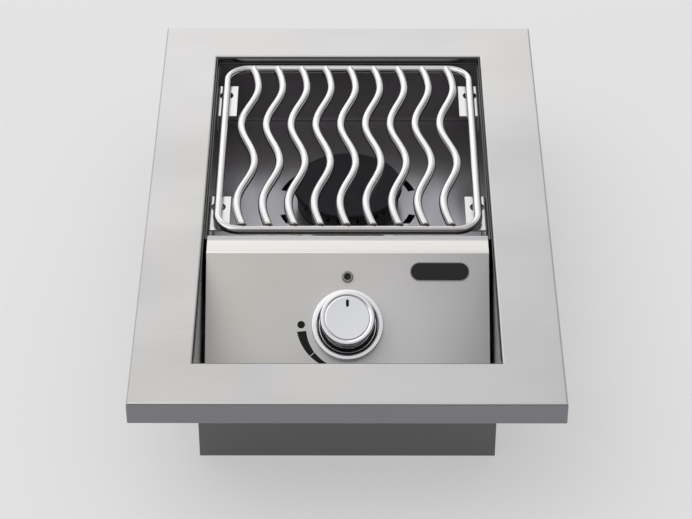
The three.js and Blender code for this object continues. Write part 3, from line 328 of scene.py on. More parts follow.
def painted_shade_outside(finish):
    """One on the shell's outside, darkened with painted shade; the ledge steps in at the front."""
    x, y, z = finish.spot()
    depth = z - box_low[2]
    for place, low, high in ((x, box_low[0], box_high[0]), (y, box_low[1], box_high[1])):
        depth = depth.math("MINIMUM", depth, place - low)
        depth = depth.math("MINIMUM", depth, high - place)
    step = depth.math("MAXIMUM", y - LEDGE_FRONT, z - LEDGE)
    return finish.ease(depth.math("MINIMUM", depth, step), 0.7 * MM, 0.3 * MM)


def painted_shade_shell_rim(finish):
    """One on the shell's top edge, darkened with painted shade, apart from its front run."""
    _, back, height = finish.spot()
    raw = finish.ease(height, box_high[2] - 0.9 * MM, box_high[2] - 0.6 * MM)
    return raw * finish.ease(back, RIM_FRONT, RIM_FRONT + 3 * MM)


def painted_shade_walls(finish):
    """One on the pan's upright walls, which are scoured rougher than its floor and darkened with painted
    shade.
    """
    return finish.ease(finish.spot()[2], pan_floor + MM, pan_floor + 6 * MM)


def pan_rear(finish):
    """Grows towards the rear of the well, where the sheet is darker and rougher."""
    return finish.ease(finish.spot()[1], 100 * MM, 165 * MM)


def pan_crease_painted_shade(finish):
    """One in the fine dark line where the pan's floor starts to rise: painted shade in the fold."""
    return finish.band(finish.spot()[2], pan_floor + 0.05 * MM, pan_floor + 0.9 * MM, 0.06 * MM)


def painted_shade_pan_rim(finish):
    """One on the pan's rim, darkened with painted shade."""
    return finish.ease(finish.spot()[2], pan_rim - 1.7 * MM, pan_rim - 1.4 * MM)


DARK_ZONE_TINT = (0.0, 0.05)
shell_steel = rolled_steel("shell_steel", 0.26, 0.2, zones=[
    # Painted shade on the shell's outside.
    (painted_shade_outside, 0.165, (-0.01, 0.01), 0.3),
    # Painted shade on the shell's top edge.
    (painted_shade_shell_rim, 0.12, (0.0,), 0.2),
])
pan_steel = rolled_steel("pan_bright_steel", 0.68, 0.31, wave=0.0001, zones=[
    (pan_rear, 0.5, DARK_ZONE_TINT, 0.34),
    # The walls: rougher from scouring, and darker with painted shade.
    (painted_shade_walls, 0.35, DARK_ZONE_TINT, 0.42),
    # Painted shade in the fold of the pan's floor.
    (pan_crease_painted_shade, 0.1, (0.0,), 0.4),
    # Painted shade on the pan's rim.
    (painted_shade_pan_rim, 0.2, (0.0,), 0.42),
])
print("with rolled finishes", len(bpy.data.materials))

# %% [markdown]
# ### The brackets
# A peg hole looks dark from above, so a thin ring of painted shade is laid round each one. It could be a ring
# of faces, but it is less than a millimetre wide, so a mask on the distance from the hole's centre draws it
# instead.

# %% Bracket steel
ring_low, ring_high = (Vector(corner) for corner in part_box("grate_frame"))
ROD = 8 * MM
HOLE, HOLE_FROM_MIDDLE = 5.75 * MM, 9 * MM


def painted_hole_shade(finish):
    """One in a thin ring of painted shade round each bracket's peg hole."""
    across, along, _ = finish.spot()
    across = across.math("ABSOLUTE", across) - (ring_high.x - ROD / 2)
    rows = [middle(f"grate_bracket_{row}_left").y + HOLE_FROM_MIDDLE for row in ("rear", "front")]
    nearest = None
    for row in rows:
        off = ((along - row) ** 2 + across ** 2) ** 0.5
        nearest = off if nearest is None else off.math("MINIMUM", off, nearest)
    return finish.ease(nearest, HOLE + 1.0 * MM, HOLE + 0.5 * MM)


bracket_steel = rolled_steel("bracket_steel", 0.9, 0.3, wave=0.0001, tint=(0.0, 0.0), zones=[
    # The dark ring round each peg hole is painted shade.
    (painted_hole_shade, 0.04, (0.0,), 0.5),
])
print("peg hole width mm", 2 * HOLE / MM)

# %% [markdown]
# ## Electropolished rod
# The grate's rod is bright on top with painted shade on its lower half, the ring's front and rear bars get
# more painted shade, and welding left straw and brown bands at its front ends.
# The bands could be painted in a picture, but they follow the distance from the weld, so that distance drives
# them, with a little noise to break their edges.

# %% Rod steel
rod_z = ring_high.z - ROD / 2


def rod_steel(name, weld_y, shaded_front=None):
    """Bright rod with painted shade on its lower half, tinted by heat before its front weld; the ring's front
    and rear bars get darker painted shade, the front bar also on its front-facing side.
    """
    finish = Finish(name, Metallic=1.0)
    fine = finish.grain((900, 60, 900), 2.0)
    spots = finish.grain((420, 420, 420), 3.0)
    along = finish.parts(finish.place(at=(0, weld_y, 0)))[1] / MM + (spots - 0.5) * 4.0
    straw = finish.ease(along, 4.5, 1.0)
    scorch = finish.ease(along, 1.8, 0.4)
    _, back, height = finish.parts(finish.place(at=(0, shaded_front or 0, rod_z)))
    # Painted shade on the lower half of every rod.
    under = finish.ease(height, 2.0 * MM, -0.8 * MM)
    bright = finish.blend(fine, grey(0.9), grey(0.96))
    if shaded_front:
        reach = ring_high.y - ring_low.y - ROD
        # Painted shade on the ring's front and rear bars, and on the front bar's front-facing side.
        ends = finish.ease(back, 11 * MM, 4 * MM)
        ends = ends.math("MAXIMUM", ends, finish.ease(back, reach - 11 * MM, reach - 4 * MM))
        bright = finish.blend(ends, bright, grey(0.72))
        front_facing_shade = finish.ease(height * 0.6 + back * 0.8, 1.6 * MM, -0.8 * MM)
        under = under.math("MAXIMUM", under, front_facing_shade)
    rod_with_painted_shade = finish.blend(under, bright, grey(0.34, 0.02, 0.02))
    tinted = finish.blend(straw, rod_with_painted_shade, (0.6, 0.55, 0.5, 1))
    return finish.dress(
        Base_Color=finish.blend(scorch, tinted, (0.07, 0.05, 0.045, 1)),
        Roughness=0.15 + 0.06 * (fine - 0.5) + 0.4 * scorch,
        Normal=finish.bump(fine, 0.1, 0.00003),
    )


print("rod height mm", round(rod_z / MM, 1))

# %% [markdown]
# ## Chrome and the knob's face
# Chrome could be a plain mirror, but without a little unevenness it looks like a drawing, so a faint smear
# changes its colour, roughness and bump. The knob's face was spun against an abrasive, so its grain runs in
# circles. Noise that is read along the radius only gives such rings, without a seam.

# %% Chrome and spun chrome
def chrome(name, level, roughness):
    """Bright plating with a faint smear."""
    finish = Finish(name, Metallic=1.0)
    smear = finish.grain((70, 70, 70), 4.0)
    return finish.dress(
        Base_Color=finish.blend(smear, grey(level * 0.97, -0.008, 0.012), grey(level, -0.008, 0.012)),
        Roughness=roughness + 0.05 * (smear - 0.5),
        Normal=finish.bump(smear, 0.05, 0.00003),
    )


def spun_chrome(name, level, roughness):
    """Chrome whose grain runs in rings round the knob's axis."""
    finish = Finish(name, Metallic=1.0)
    local = finish.place(at=knob_base, turn=(panel_slope, 0, 0))
    across, up, _ = finish.parts(local)
    radius = (across * across + up * up) ** 0.5
    rings = finish.clouds(finish.vector(radius * 2600, 0.0, 0.0), 3.0)
    return finish.dress(
        Base_Color=finish.blend(rings, grey(level * 0.95, -0.014), grey(level * 1.02, -0.014)),
        Roughness=roughness + 0.12 * (rings - 0.5),
        Normal=finish.bump(rings, 0.2, 0.00004),
    )


bright_chrome = chrome("bright_chrome", 0.94, 0.15)
face_chrome = spun_chrome("spun_face_chrome", 0.88, 0.18)
print("with chrome", len(bpy.data.materials))

# %% [markdown]
# ## Enamel, castings, plastic, brass and ceramic
# Matt enamel sits in tiny pools over a cast surface, a sand casting is coarser and has no enamel, and a
# moulding has a fine even texture. Each could have a tree of its own, but they differ only in the tones, the
# size and the depth of one grain, so a single function covers them all with different numbers.

# %% Grainy finishes and brass
def grainy(name, dark, light, metallic, roughness, scale, depth, shine=0.5):
    """A fine uneven skin: the same grain sets the tone, the roughness and the bump."""
    finish = Finish(name, Metallic=metallic, Specular_IOR_Level=shine)
    fine = finish.grain((scale, scale, scale), 4.0, rough=0.6)
    broad = finish.grain((45, 45, 45), 2.0)
    return finish.dress(
        Base_Color=finish.blend(finish.ease(fine * 0.5 + broad * 0.5, 0.3, 0.7), dark, light),
        Roughness=roughness + 0.1 * (broad - 0.5) + 0.1 * (fine - 0.5),
        Normal=finish.bump(fine, 0.4, depth),
    )


def turned_brass():
    """Brass off the lathe, with a light tarnish."""
    finish = Finish("machined_brass", Metallic=1.0)
    lathe = finish.grain((1800, 1800, 1800), 2.0)
    tarnish = finish.grain((60, 60, 60), 4.0)
    return finish.dress(
        Base_Color=finish.blend(finish.ease(tarnish, 0.35, 0.7), (0.74, 0.56, 0.27, 1), (0.55, 0.4, 0.2, 1)),
        Roughness=0.24 + 0.25 * (tarnish - 0.4),
        Normal=finish.bump(lathe, 0.15, 0.00003),
    )


enamel_low, enamel_high = grey(0.0185, -0.08, 0.2), grey(0.027, -0.08, 0.17)
cap_enamel = grainy("matt_black_enamel", enamel_low, enamel_high, 0.0, 0.55, 1500, 0.00012, shine=0.22)
cast_metal = grainy("cast_aluminium", grey(0.16), grey(0.3), 1.0, 0.55, 900, 0.0003)
burner_casting = grainy("sooty_casting", grey(0.04), grey(0.09), 1.0, 0.5, 900, 0.0003)
black_plastic = grainy("black_moulding", grey(0.006), grey(0.01), 0.0, 0.34, 2600, 0.00003, shine=0.35)
dull_nickel = grainy("dull_nickel", grey(0.23, 0.01), grey(0.32, 0.01), 1.0, 0.36, 2200, 0.00004)
black_ink = grainy("black_print", grey(0.006), grey(0.01), 0.0, 0.5, 3000, 0.00001, shine=0.25)
white_ceramic = grainy("white_ceramic", grey(0.78, 0.02), grey(0.84, 0.02), 0.0, 0.25, 800, 0.00004)
brass = turned_brass()
print("materials", len(bpy.data.materials))

# %% [markdown]
# ## Fine copies of the folded pieces
# Folded sheet comes from CAD as loose triangles with right shapes and hard edges. A real sheared edge is
# never that hard, and the small bright line along it is much of what says metal. The pieces could be drawn
# again from nothing, but a copy keeps their exact shape. So each such node is welded into whole faces, gets a
# narrow bevel, and weighted normals keep its flats flat.

# %% Link, weld and bevel
WELD = 1e-6
FLAT_ANGLE = math.radians(0.6)
EDGE_ANGLE = math.radians(38)


def linked(name, data):
    """A new object in the scene."""
    made = bpy.data.objects.new(name, data)
    bpy.context.collection.objects.link(made)
    return made


def keep(mesh, material, body, slot, *stands_for):
    """Puts a finished mesh in the scene on its body, under the mesh's own name."""
    mesh.materials.clear()
    mesh.materials.append(material)
    piece = linked(mesh.name, mesh)
    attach(piece, body)
    if stands_for:
        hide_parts(*stands_for)
    return piece


def poured(shell, name):
    """Turns a working shell into a mesh and frees it."""
    mesh = bpy.data.meshes.new(name)
    shell.to_mesh(mesh)
    shell.free()
    return mesh


def welded(node):
    """A CAD node's loose triangles, joined into whole faces."""
    source = frame["nodes"][node].data
    mesh = bpy.data.meshes.new(node + "_fine")
    faces = [tuple(face.vertices) for face in source.polygons]
    mesh.from_pydata([vertex.co for vertex in source.vertices], [], faces)
    shell = bmesh.new()
    shell.from_mesh(mesh)
    bmesh.ops.remove_doubles(shell, verts=shell.verts, dist=WELD)
    bmesh.ops.dissolve_limit(shell, angle_limit=FLAT_ANGLE, verts=shell.verts, edges=shell.edges)
    shell.to_mesh(mesh)
    shell.free()
    mesh.shade_smooth()
    return mesh


def refined(node, material, slot, edge=0.2, body="base"):
    """A welded copy of a CAD node with softened edges, which stands for it."""
    piece = keep(welded(node), material, body, slot, node)
    bevel = piece.modifiers.new("sheared_edge", "BEVEL")
    bevel.width = edge * MM
    bevel.segments = 2
    bevel.limit_method = "ANGLE"
    bevel.angle_limit = EDGE_ANGLE
    shading = piece.modifiers.new("flat_faces", "WEIGHTED_NORMAL")
    shading.keep_sharp = True
    return piece


# %% The sheet-metal pieces
refined("trim_frame", trim_steel, "brushed_steel")
refined("control_panel", panel_steel, "brushed_steel")
refined("burner_box", shell_steel, "shell_steel")
refined("burner_pan", pan_steel, "polished_steel")
for row in ("rear", "front"):
    for side in ("left", "right"):
        refined(f"grate_bracket_{row}_{side}", bracket_steel, "rod_steel")

# %% [markdown]
# ## Turned pieces
# Knob, bezel, cap, burner and small round parts are all lathe work. A Screw modifier could turn them, but
# every corner would get the same bevel afterwards. Here a profile of radius and height, with a fillet of its
# own where the tool leaves one, is turned round the local Z axis and carried to its place by a matrix.

# %% Fillets and the lathe
def filleted(corners, steps=5):
    """Profile points with the given corner radii rounded off."""
    points = []
    for i, corner in enumerate(corners):
        spot = Vector(corner[:2])
        radius = corner[2] if len(corner) > 2 else 0
        if not radius:
            points.append(spot)
            continue
        before = (Vector(corners[i - 1][:2]) - spot).normalized()
        after = (Vector(corners[(i + 1) % len(corners)][:2]) - spot).normalized()
        half = before.angle(after) / 2
        centre = spot + (before + after).normalized() * radius / math.sin(half)
        start = spot + before * radius / math.tan(half) - centre
        end = spot + after * radius / math.tan(half) - centre
        turn = -start.angle_signed(end)
        for step in range(steps + 1):
            swing = Matrix.Rotation(turn * step / steps, 2)
            points.append(centre + swing @ start)
    return points


def supported(profile):
    """Adds a point just inside each end of a long run, so that a flat face also shades flat."""
    gap = 0.2
    closed = profile[0].x > WELD
    points = []
    for spot, following in zip(profile, profile[1:] + profile[:1] * closed):
        points.append(spot)
        run = following - spot
        if run.length > 5 * gap:
            points += [spot + run.normalized() * gap, following - run.normalized() * gap]
    return points if closed else points + profile[-1:]


def turned(name, corners, place, sides=128):
    """A closed mesh turned from a profile in millimetres, on the axis or closed on itself."""
    profile = supported(filleted(corners))
    shell = bmesh.new()
    rings = []
    for radius, height in profile:
        count = sides if radius > WELD else 1
        angles = [2 * math.pi * k / count for k in range(count)]
        spots = [Vector((radius * math.cos(a), radius * math.sin(a), height)) * MM for a in angles]
        rings.append([shell.verts.new(place @ spot) for spot in spots])
    ends_on_axis = len(rings[0]) == 1
    pairs = list(zip(rings, rings[1:])) + ([] if ends_on_axis else [(rings[-1], rings[0])])
    for lower, upper in pairs:
        for k in range(sides):
            loop = [lower[k % len(lower)], lower[(k + 1) % len(lower)]]
            loop += [upper[(k + 1) % len(upper)], upper[k % len(upper)]]
            shell.faces.new(list(dict.fromkeys(loop)))
    bmesh.ops.recalc_face_normals(shell, faces=shell.faces)
    mesh = poured(shell, name)
    mesh.shade_smooth()
    mesh.set_sharp_from_angle(angle=EDGE_ANGLE)
    return mesh


# %% [markdown]
# ### The knob
# The real knob is a waisted chrome shell with a rolled rim, a fine groove and a skirt, and a satin disc set
# into its top. The CAD shell could be smoothed, but its facets would still show in the reflections. So it is
# turned anew, with fillets, the groove, and the waist and skirt as slim as the photograph shows them.

# %% Knob shell
KNOB_TOP = 37.0
KNOB_SKIRT = 6.3
RIM, WAIST, SKIRT, FACE, HUB = 23.6, 20.3, 21.4, 19.2, 7.0
ROLL, GROOVE, CUP = 2.6, 1.3, 2.2
FACE_GAP, FACE_SHEET = 0.06, 1.8
knob_shell = turned("knob_shell_turned", [
    (0, KNOB_TOP - ROLL),
    (FACE + FACE_GAP, KNOB_TOP - ROLL),
    (FACE + FACE_GAP, KNOB_TOP - 0.45),
    (FACE + 1.3, KNOB_TOP, 0.9),
    (RIM - 0.4, KNOB_TOP, 1.3),
    (RIM, KNOB_TOP - ROLL, 0.8),
    (RIM - GROOVE, KNOB_TOP - ROLL - 1.0, 0.4),
    (RIM - GROOVE, KNOB_TOP - ROLL - 1.6, 0.4),
    (RIM - 0.3, KNOB_TOP - 5.4, 0.8),
    (RIM - 0.3, KNOB_TOP - 7.6, 1.2),
    (WAIST, KNOB_TOP - 10.0, 1.5),
    (WAIST, KNOB_SKIRT + 2.8, 1.4),
    (SKIRT, KNOB_SKIRT + 1.3, 0.6),
    (SKIRT, KNOB_SKIRT, 0.4),
    (SKIRT - CUP, KNOB_SKIRT, 0.3),
    (WAIST - CUP, KNOB_SKIRT + 3.6),
    (WAIST - CUP, KNOB_TOP - 6.8),
    (HUB, KNOB_TOP - 6.3),
    (HUB, KNOB_SKIRT + 3.0),
    (0, KNOB_SKIRT + 3.0),
], on_panel)
keep(knob_shell, bright_chrome, "knob", "chrome", "knob_shell")
print("knob width mm", 2 * RIM)

# %% Knob face
FACE_TOP, DISH = KNOB_TOP - 0.2, 0.2
face = turned("knob_face_turned", [
    *((r, FACE_TOP - DISH * (1 - (r / FACE) ** 2)) for r in (0, 3, 6, 9, 12, 15, 17)),
    (FACE - 0.9, FACE_TOP, 1.5),
    (FACE, FACE_TOP - 0.35, 0.2),
    (FACE, FACE_TOP - FACE_SHEET),
    (0, FACE_TOP - FACE_SHEET),
], on_panel)
keep(face, face_chrome, "knob", "satin_chrome", "knob_face")
print("face width mm", 2 * FACE)

# %% [markdown]
# ### The index mark
# A mark on the face shows where the knob points. It could be a mask in the face's chrome, but a thin piece
# keeps a sharp outline at any distance, and it rides on the knob. The same helper stamps the panel's marks.

# %% Flat stamped pieces and the index mark
def stamped(name, outline, base, height, place):
    """A flat piece with a closed outline in millimetres, standing on a local height."""
    shell = bmesh.new()
    low = [shell.verts.new(place @ (Vector((x, y, base)) * MM)) for x, y in outline]
    high = [shell.verts.new(place @ (Vector((x, y, base + height)) * MM)) for x, y in outline]
    shell.faces.new(list(reversed(low)))
    shell.faces.new(high)
    for k in range(len(outline)):
        following = (k + 1) % len(outline)
        shell.faces.new([low[k], low[following], high[following], high[k]])
    bmesh.ops.recalc_face_normals(shell, faces=shell.faces)
    return poured(shell, name)


def pill(width, height, at=(0, 0)):
    """A rectangle with round ends, as an outline."""
    x, y = width / 2, height / 2
    radius = min(width, height) * 0.499
    corners = [(-x, -y, radius), (x, -y, radius), (x, y, radius), (-x, y, radius)]
    return [(point.x + at[0], point.y + at[1]) for point in filleted(corners, steps=8)]


index_mark = stamped("knob_index", pill(2.6, 6.4, at=(0, 12.9)), FACE_TOP - DISH, DISH, on_panel)
keep(index_mark, black_ink, "knob", "black_plastic")
print("mark height mm", round(DISH, 2))

# %% [markdown]
# ### Bezel and liner
# Round the knob the panel carries a bright rolled ring. Inside it sits a black dish with one fine bright
# step, which shows in the photograph as a thin grey line between ring and knob. A grey stripe on the dish
# could stand for it, but only an edge of real metal is bright on one side and dark on the other.

# %% Bezel ring
BEZEL, BEZEL_WALL, BEZEL_TOP, SEAT = 30.9, 4.5, 7.2, 0.3
BEZEL_FLANGE = BEZEL - BEZEL_WALL - 3.4
ring = turned("bezel_turned", [
    (BEZEL_FLANGE, SEAT),
    (BEZEL, SEAT, 0.6),
    (BEZEL, BEZEL_TOP - 0.2, 0.6),
    (BEZEL - BEZEL_WALL, BEZEL_TOP, 1.2),
    (BEZEL - BEZEL_WALL, SEAT + 1.0),
    (BEZEL_FLANGE, SEAT + 1.0),
], on_panel)
keep(ring, bright_chrome, "base", "chrome", "bezel_ring")
print("bezel width mm", 2 * BEZEL)

# %% Liner and its bright step
LINER, LINER_FLOOR, LINER_HOLE = 26.1, 1.6, 8.0
STEP, STEP_TOP = 23.9, 4.4
dish = turned("liner_turned", [
    (LINER_HOLE, LINER_FLOOR),
    (LINER, LINER_FLOOR),
    (LINER, LINER_FLOOR + 4.0, 0.3),
    (LINER - 0.8, LINER_FLOOR + 4.0, 0.3),
    (LINER - 0.8, STEP_TOP - 0.3),
    (STEP, STEP_TOP - 0.3, 0.2),
    (STEP, LINER_FLOOR + 1.2),
    (LINER_HOLE, LINER_FLOOR + 1.2),
], on_panel)
keep(dish, black_plastic, "base", "black_plastic", "bezel_liner")
line = turned("liner_line", [
    (STEP, STEP_TOP - 0.3),
    (STEP + 0.8, STEP_TOP - 0.3),
    (STEP + 0.8, STEP_TOP, 0.15),
    (STEP, STEP_TOP, 0.15),
], on_panel)
keep(line, bright_chrome, "base", "chrome")
print("liner width mm", 2 * LINER)

# %% [markdown]
# ### Burner cap
# The cap is a pressed disc under matt black enamel, flat on top, with a soft rim that turns under and a short
# spigot that drops into the head. A bevelled cylinder could do for its top, but turning it from a profile
# also gives the hollow underside, which shows when the cap is lifted.

# %% Burner cap
burner_middle = middle("burner_cap")
burner_axis = Matrix.Translation((burner_middle.x, burner_middle.y, 0))
cap_low, cap_high = (corner[2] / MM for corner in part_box("burner_cap"))
CAP_EDGE = size("burner_cap").x / 2 / MM
CAP_SHEET = 4.6
HEAD = size("burner_head").x / 2 / MM
CAP_SPIGOT = HEAD - 5.4
cap_hollow = cap_high - CAP_SHEET / 1.5
cap = turned("cap_turned", [
    (0, cap_high),
    (CAP_EDGE, cap_high, 1.5),
    (CAP_EDGE, cap_high - CAP_SHEET, 1.0),
    (CAP_SPIGOT, cap_high - CAP_SHEET),
    (CAP_SPIGOT, cap_low, 0.5),
    (CAP_SPIGOT - 3.4, cap_low, 0.5),
    (CAP_SPIGOT - 6.8, cap_hollow),
    (0, cap_hollow),
], burner_axis, sides=160)
keep(cap, cap_enamel, "cap", "black_enamel", "burner_cap")
print("cap width mm", round(2 * CAP_EDGE, 1))

# %% [markdown]
# ### The igniter
# A miniature push switch: a dull ring nut holds it in the panel, and the black plunger has a shallow dimple
# for the fingertip. A flat black disc could do at this size, but the dimple is what catches the light in its
# middle, so both are turned like the knob.

# %% Igniter nut and plunger
igniter_up = (middle("igniter_button") - knob_base).dot(on_panel.to_3x3() @ Vector((0, 1, 0)))
at_igniter = on_panel @ Matrix.Translation((0, igniter_up, 0))
NUT, NUT_TOP, BUSHING = 4.85, 2.3, 2.85
nut = turned("igniter_nut", [
    (BUSHING, SEAT),
    (NUT, SEAT, 0.3),
    (NUT, NUT_TOP, 0.6),
    (BUSHING, NUT_TOP, 0.3),
], at_igniter, sides=64)
keep(nut, dull_nickel, "base", "dark_nickel", "igniter_ring")
PLUNGER, PLUNGER_TOP = 2.6, 3.2
plunger = turned("igniter_plunger", [
    (0, PLUNGER_TOP - 0.45),
    (PLUNGER * 0.45, PLUNGER_TOP - 0.3, 0.6),
    (PLUNGER * 0.8, PLUNGER_TOP, 0.3),
    (PLUNGER, PLUNGER_TOP - 0.4, 0.3),
    (PLUNGER, PLUNGER_TOP - 10.0),
    (0, PLUNGER_TOP - 10.0),
], at_igniter, sides=64)
keep(plunger, black_plastic, "igniter", "black_plastic", "igniter_button")
print("igniter above knob mm", round(igniter_up / MM, 1))


# %% [markdown]
# ## Geometry Nodes for what repeats
# Nine equal rods, four pegs, rows of screws and a ring of ports follow rules. Loops in Python could copy the
# meshes, but a tree has its sizes as named inputs and shows the rule itself. Each tree ends in Realize
# Instances and Set Material, and its result is kept as a plain mesh.

# %% The recipe class
class Recipe(Graph):
    """A geometry tree with named sizes, and a starting mesh where one is needed."""

    def __init__(self, name, **sizes):
        super().__init__(bpy.data.node_groups.new(name, "GeometryNodeTree"))
        face = self.tree.interface
        face.new_socket("Start", in_out="INPUT", socket_type="NodeSocketGeometry")
        face.new_socket("Mesh", in_out="OUTPUT", socket_type="NodeSocketGeometry")
        self.sizes = {}
        for label, value in sizes.items():
            kind = "NodeSocket" + {int: "Int", float: "Float", tuple: "Vector"}[type(value)]
            self.sizes[face.new_socket(label, in_out="INPUT", socket_type=kind).identifier] = value
        self.given = self.tree.nodes.new("NodeGroupInput")

    def __getitem__(self, label):
        return Number(self, self.given.outputs[label])

    def shape(self, kind, inputs=(), **settings):
        return self.node("GeometryNode" + kind, settings, inputs)

    def cut(self, body, tool):
        return self.shape("MeshBoolean", {0: body, 1: tool}, operation="DIFFERENCE")

    def moved(self, geometry, by):
        return self.shape("Transform", {"Geometry": geometry, "Translation": self[by]})

    def copies(self, points, piece, **sockets):
        return self.shape("InstanceOnPoints", {"Points": points, "Instance": piece, **sockets})

    def join(self, *parts):
        made = self.tree.nodes.new("GeometryNodeJoinGeometry")
        for part in reversed(parts):
            self.feed(made.inputs[0], part)
        return Number(self, made.outputs[0])

    def tube(self, path, diameter, sides):
        hoop = self.shape("CurvePrimitiveCircle", {"Resolution": sides, "Radius": diameter / 2})
        solid = self.shape("CurveToMesh", {"Curve": path, "Profile Curve": hoop, "Fill Caps": True})
        return self.shape("SetShadeSmooth", {"Geometry": solid})

    def grow(self, geometry, material, start=None):
        """Ends the tree, runs it once and keeps the result as a plain mesh."""
        real = self.shape("RealizeInstances", [geometry])
        dressed = self.shape("SetMaterial", {"Geometry": real, "Material": material})
        self.feed(self.tree.nodes.new("NodeGroupOutput").inputs[0], dressed)
        holder = linked("holder", start or bpy.data.meshes.new("nothing"))
        modifier = holder.modifiers.new("grow", "NODES")
        modifier.node_group = self.tree
        for key, value in self.sizes.items():
            modifier[key] = value
        depsgraph = bpy.context.evaluated_depsgraph_get()
        mesh = bpy.data.meshes.new_from_object(holder.evaluated_get(depsgraph), depsgraph=depsgraph)
        holder.modifiers.remove(modifier)
        bpy.data.objects.remove(holder)
        mesh.name = self.tree.name
        print(mesh.name, "faces", len(mesh.polygons))
        return mesh


# %% [markdown]
# ### The wave grate
# The ring is one rounded rectangle of bent rod, and four pegs below it drop into the brackets' holes. Across
# it run nine waved rods. Each could be a curve through points set by hand, but the real ones come off one
# bending tool, so a single line is pushed sideways by a cosine of its place along Y, given a round section,
# and repeated.

# %% Ring and pegs
ring_size = ring_high - ring_low
peg_low = ring_low.z
PEG = 5.4
peg = turned("peg", [
    (0, peg_low / MM),
    (PEG / 2, peg_low / MM, 1.6),
    (PEG / 2, rod_z / MM),
    (0, rod_z / MM),
], Matrix.Identity(4), sides=32)
rear_bracket, front_bracket = middle("grate_bracket_rear_left"), middle("grate_bracket_front_left")
recipe = Recipe(
    "grate_ring",
    width=ring_size.x - ROD,
    length=ring_size.y - ROD,
    corner=21 * MM,
    rod=ROD,
    middle=(0.0, (ring_low.y + ring_high.y) / 2, rod_z),
    peg_rows=rear_bracket.y - front_bracket.y,
    peg_middle=(0.0, (rear_bracket.y + front_bracket.y) / 2 + HOLE_FROM_MIDDLE, 0.0),
)
outline = {"Width": recipe["width"], "Height": recipe["length"]}
loop = recipe.shape("CurvePrimitiveQuadrilateral", outline)
rounded = {"Curve": loop, "Radius": recipe["corner"], "Count": 14}
loop = recipe.shape("FilletCurve", rounded, mode="POLY")
loop = recipe.moved(loop, "middle")
grid = recipe.shape("MeshGrid", [recipe["width"], recipe["peg_rows"], 2, 2])
pegs = recipe.copies(recipe.moved(grid, "peg_middle"), recipe["Start"])
ring_finish = rod_steel("ring_rod_steel", ring_low.y - 12 * MM, shaded_front=ring_low.y + ROD / 2)
mesh = recipe.grow(recipe.join(recipe.tube(loop, recipe["rod"], 32), pegs), ring_finish, start=peg)
keep(mesh, ring_finish, "grate", "rod_steel", "grate_frame")

# %% Nine waved rods
RODS = 9
SWING, WAVE, CREST_FROM_REAR = 7 * MM, 122 * MM, 33 * MM
WAVES, END_SHARE = 1.5, 0.81
front_y, rear_y = ring_low.y + ROD / 2, ring_high.y - ROD / 2
pitch = (ring_size.x - ROD) / (RODS + 1)


def row_across(recipe, start=(0.0, 0.0, 0.0)):
    """One point for each rod, a pitch apart across the grate."""
    first = recipe.vector(recipe["pitch"] * (-(RODS - 1) / 2), 0.0, 0.0)
    first = recipe.node("ShaderNodeVectorMath", {"operation": "ADD"}, [start, first])
    step = recipe.vector(recipe["pitch"], 0.0, 0.0)
    return recipe.shape("MeshLine", {"Count": RODS, "Start Location": first, "Offset": step})


recipe = Recipe(
    "grate_rods",
    rod=ROD,
    swing=SWING,
    wave=WAVE,
    crest=rear_y - CREST_FROM_REAR,
    waved=WAVES * WAVE,
    end_share=END_SHARE,
    front=(0.0, front_y, rod_z),
    rear=(0.0, rear_y, rod_z),
    pitch=pitch,
)
line = recipe.shape("CurvePrimitiveLine", [recipe["front"], recipe["rear"]])
line = recipe.shape("ResampleCurve", {"Curve": line, "Count": 96})
_, y, _ = recipe.parts(recipe.shape("InputPosition"))
from_crest = recipe["crest"] - y
waved = recipe.node("ShaderNodeClamp", {}, [from_crest, 0.0, recipe["waved"]])
phase = (waved + recipe["end_share"] * (from_crest - waved)) / recipe["wave"] * (2 * math.pi)
sideways = recipe.vector(phase.math("COSINE", phase) * recipe["swing"], 0.0, 0.0)
line = recipe.shape("SetPosition", {"Geometry": line, "Offset": sideways})
rod = recipe.tube(line, recipe["rod"], 28)
rods = recipe.copies(row_across(recipe), rod)
rod_finish = rod_steel("waved_rod_steel", front_y + ROD / 2)
mesh = recipe.grow(rods, rod_finish)
keep(mesh, rod_finish, "grate", "rod_steel", *(f"grate_rod_{i + 1}" for i in range(RODS)))


# %% [markdown]
# ### Weld beads
# Where a rod meets the ring the welder leaves a small lumpy, scorched bead. A bump in the material could
# roughen the joint but not swell it, so one bead is made by pushing a ball about with noise. It is set at
# both ends of every rod, each time turned a little by a fixed seed.

# %% Weld beads
def lump(name, widths, seed):
    """A small uneven blob; the seed picks its shape."""
    shell = bmesh.new()
    bmesh.ops.create_icosphere(shell, subdivisions=3, radius=1)
    for vertex in shell.verts:
        swell = 1 + 0.16 * noise.noise(vertex.co * 2.2 + Vector((seed, 0, 0)))
        vertex.co = Vector((a * b for a, b in zip(vertex.co * swell, widths))) * MM
    mesh = poured(shell, name)
    mesh.shade_smooth()
    return mesh


bead_finish = grainy("scorched_weld", (0.03, 0.022, 0.02, 1), (0.09, 0.06, 0.05, 1), 1.0, 0.45, 1200, 0.0002)


def swing_at(y):
    """How far a rod is from its middle line at a place along it."""
    from_crest = rear_y - CREST_FROM_REAR - y
    waved = min(max(from_crest, 0), WAVES * WAVE)
    return SWING * math.cos(2 * math.pi * (waved + END_SHARE * (from_crest - waved)) / WAVE)


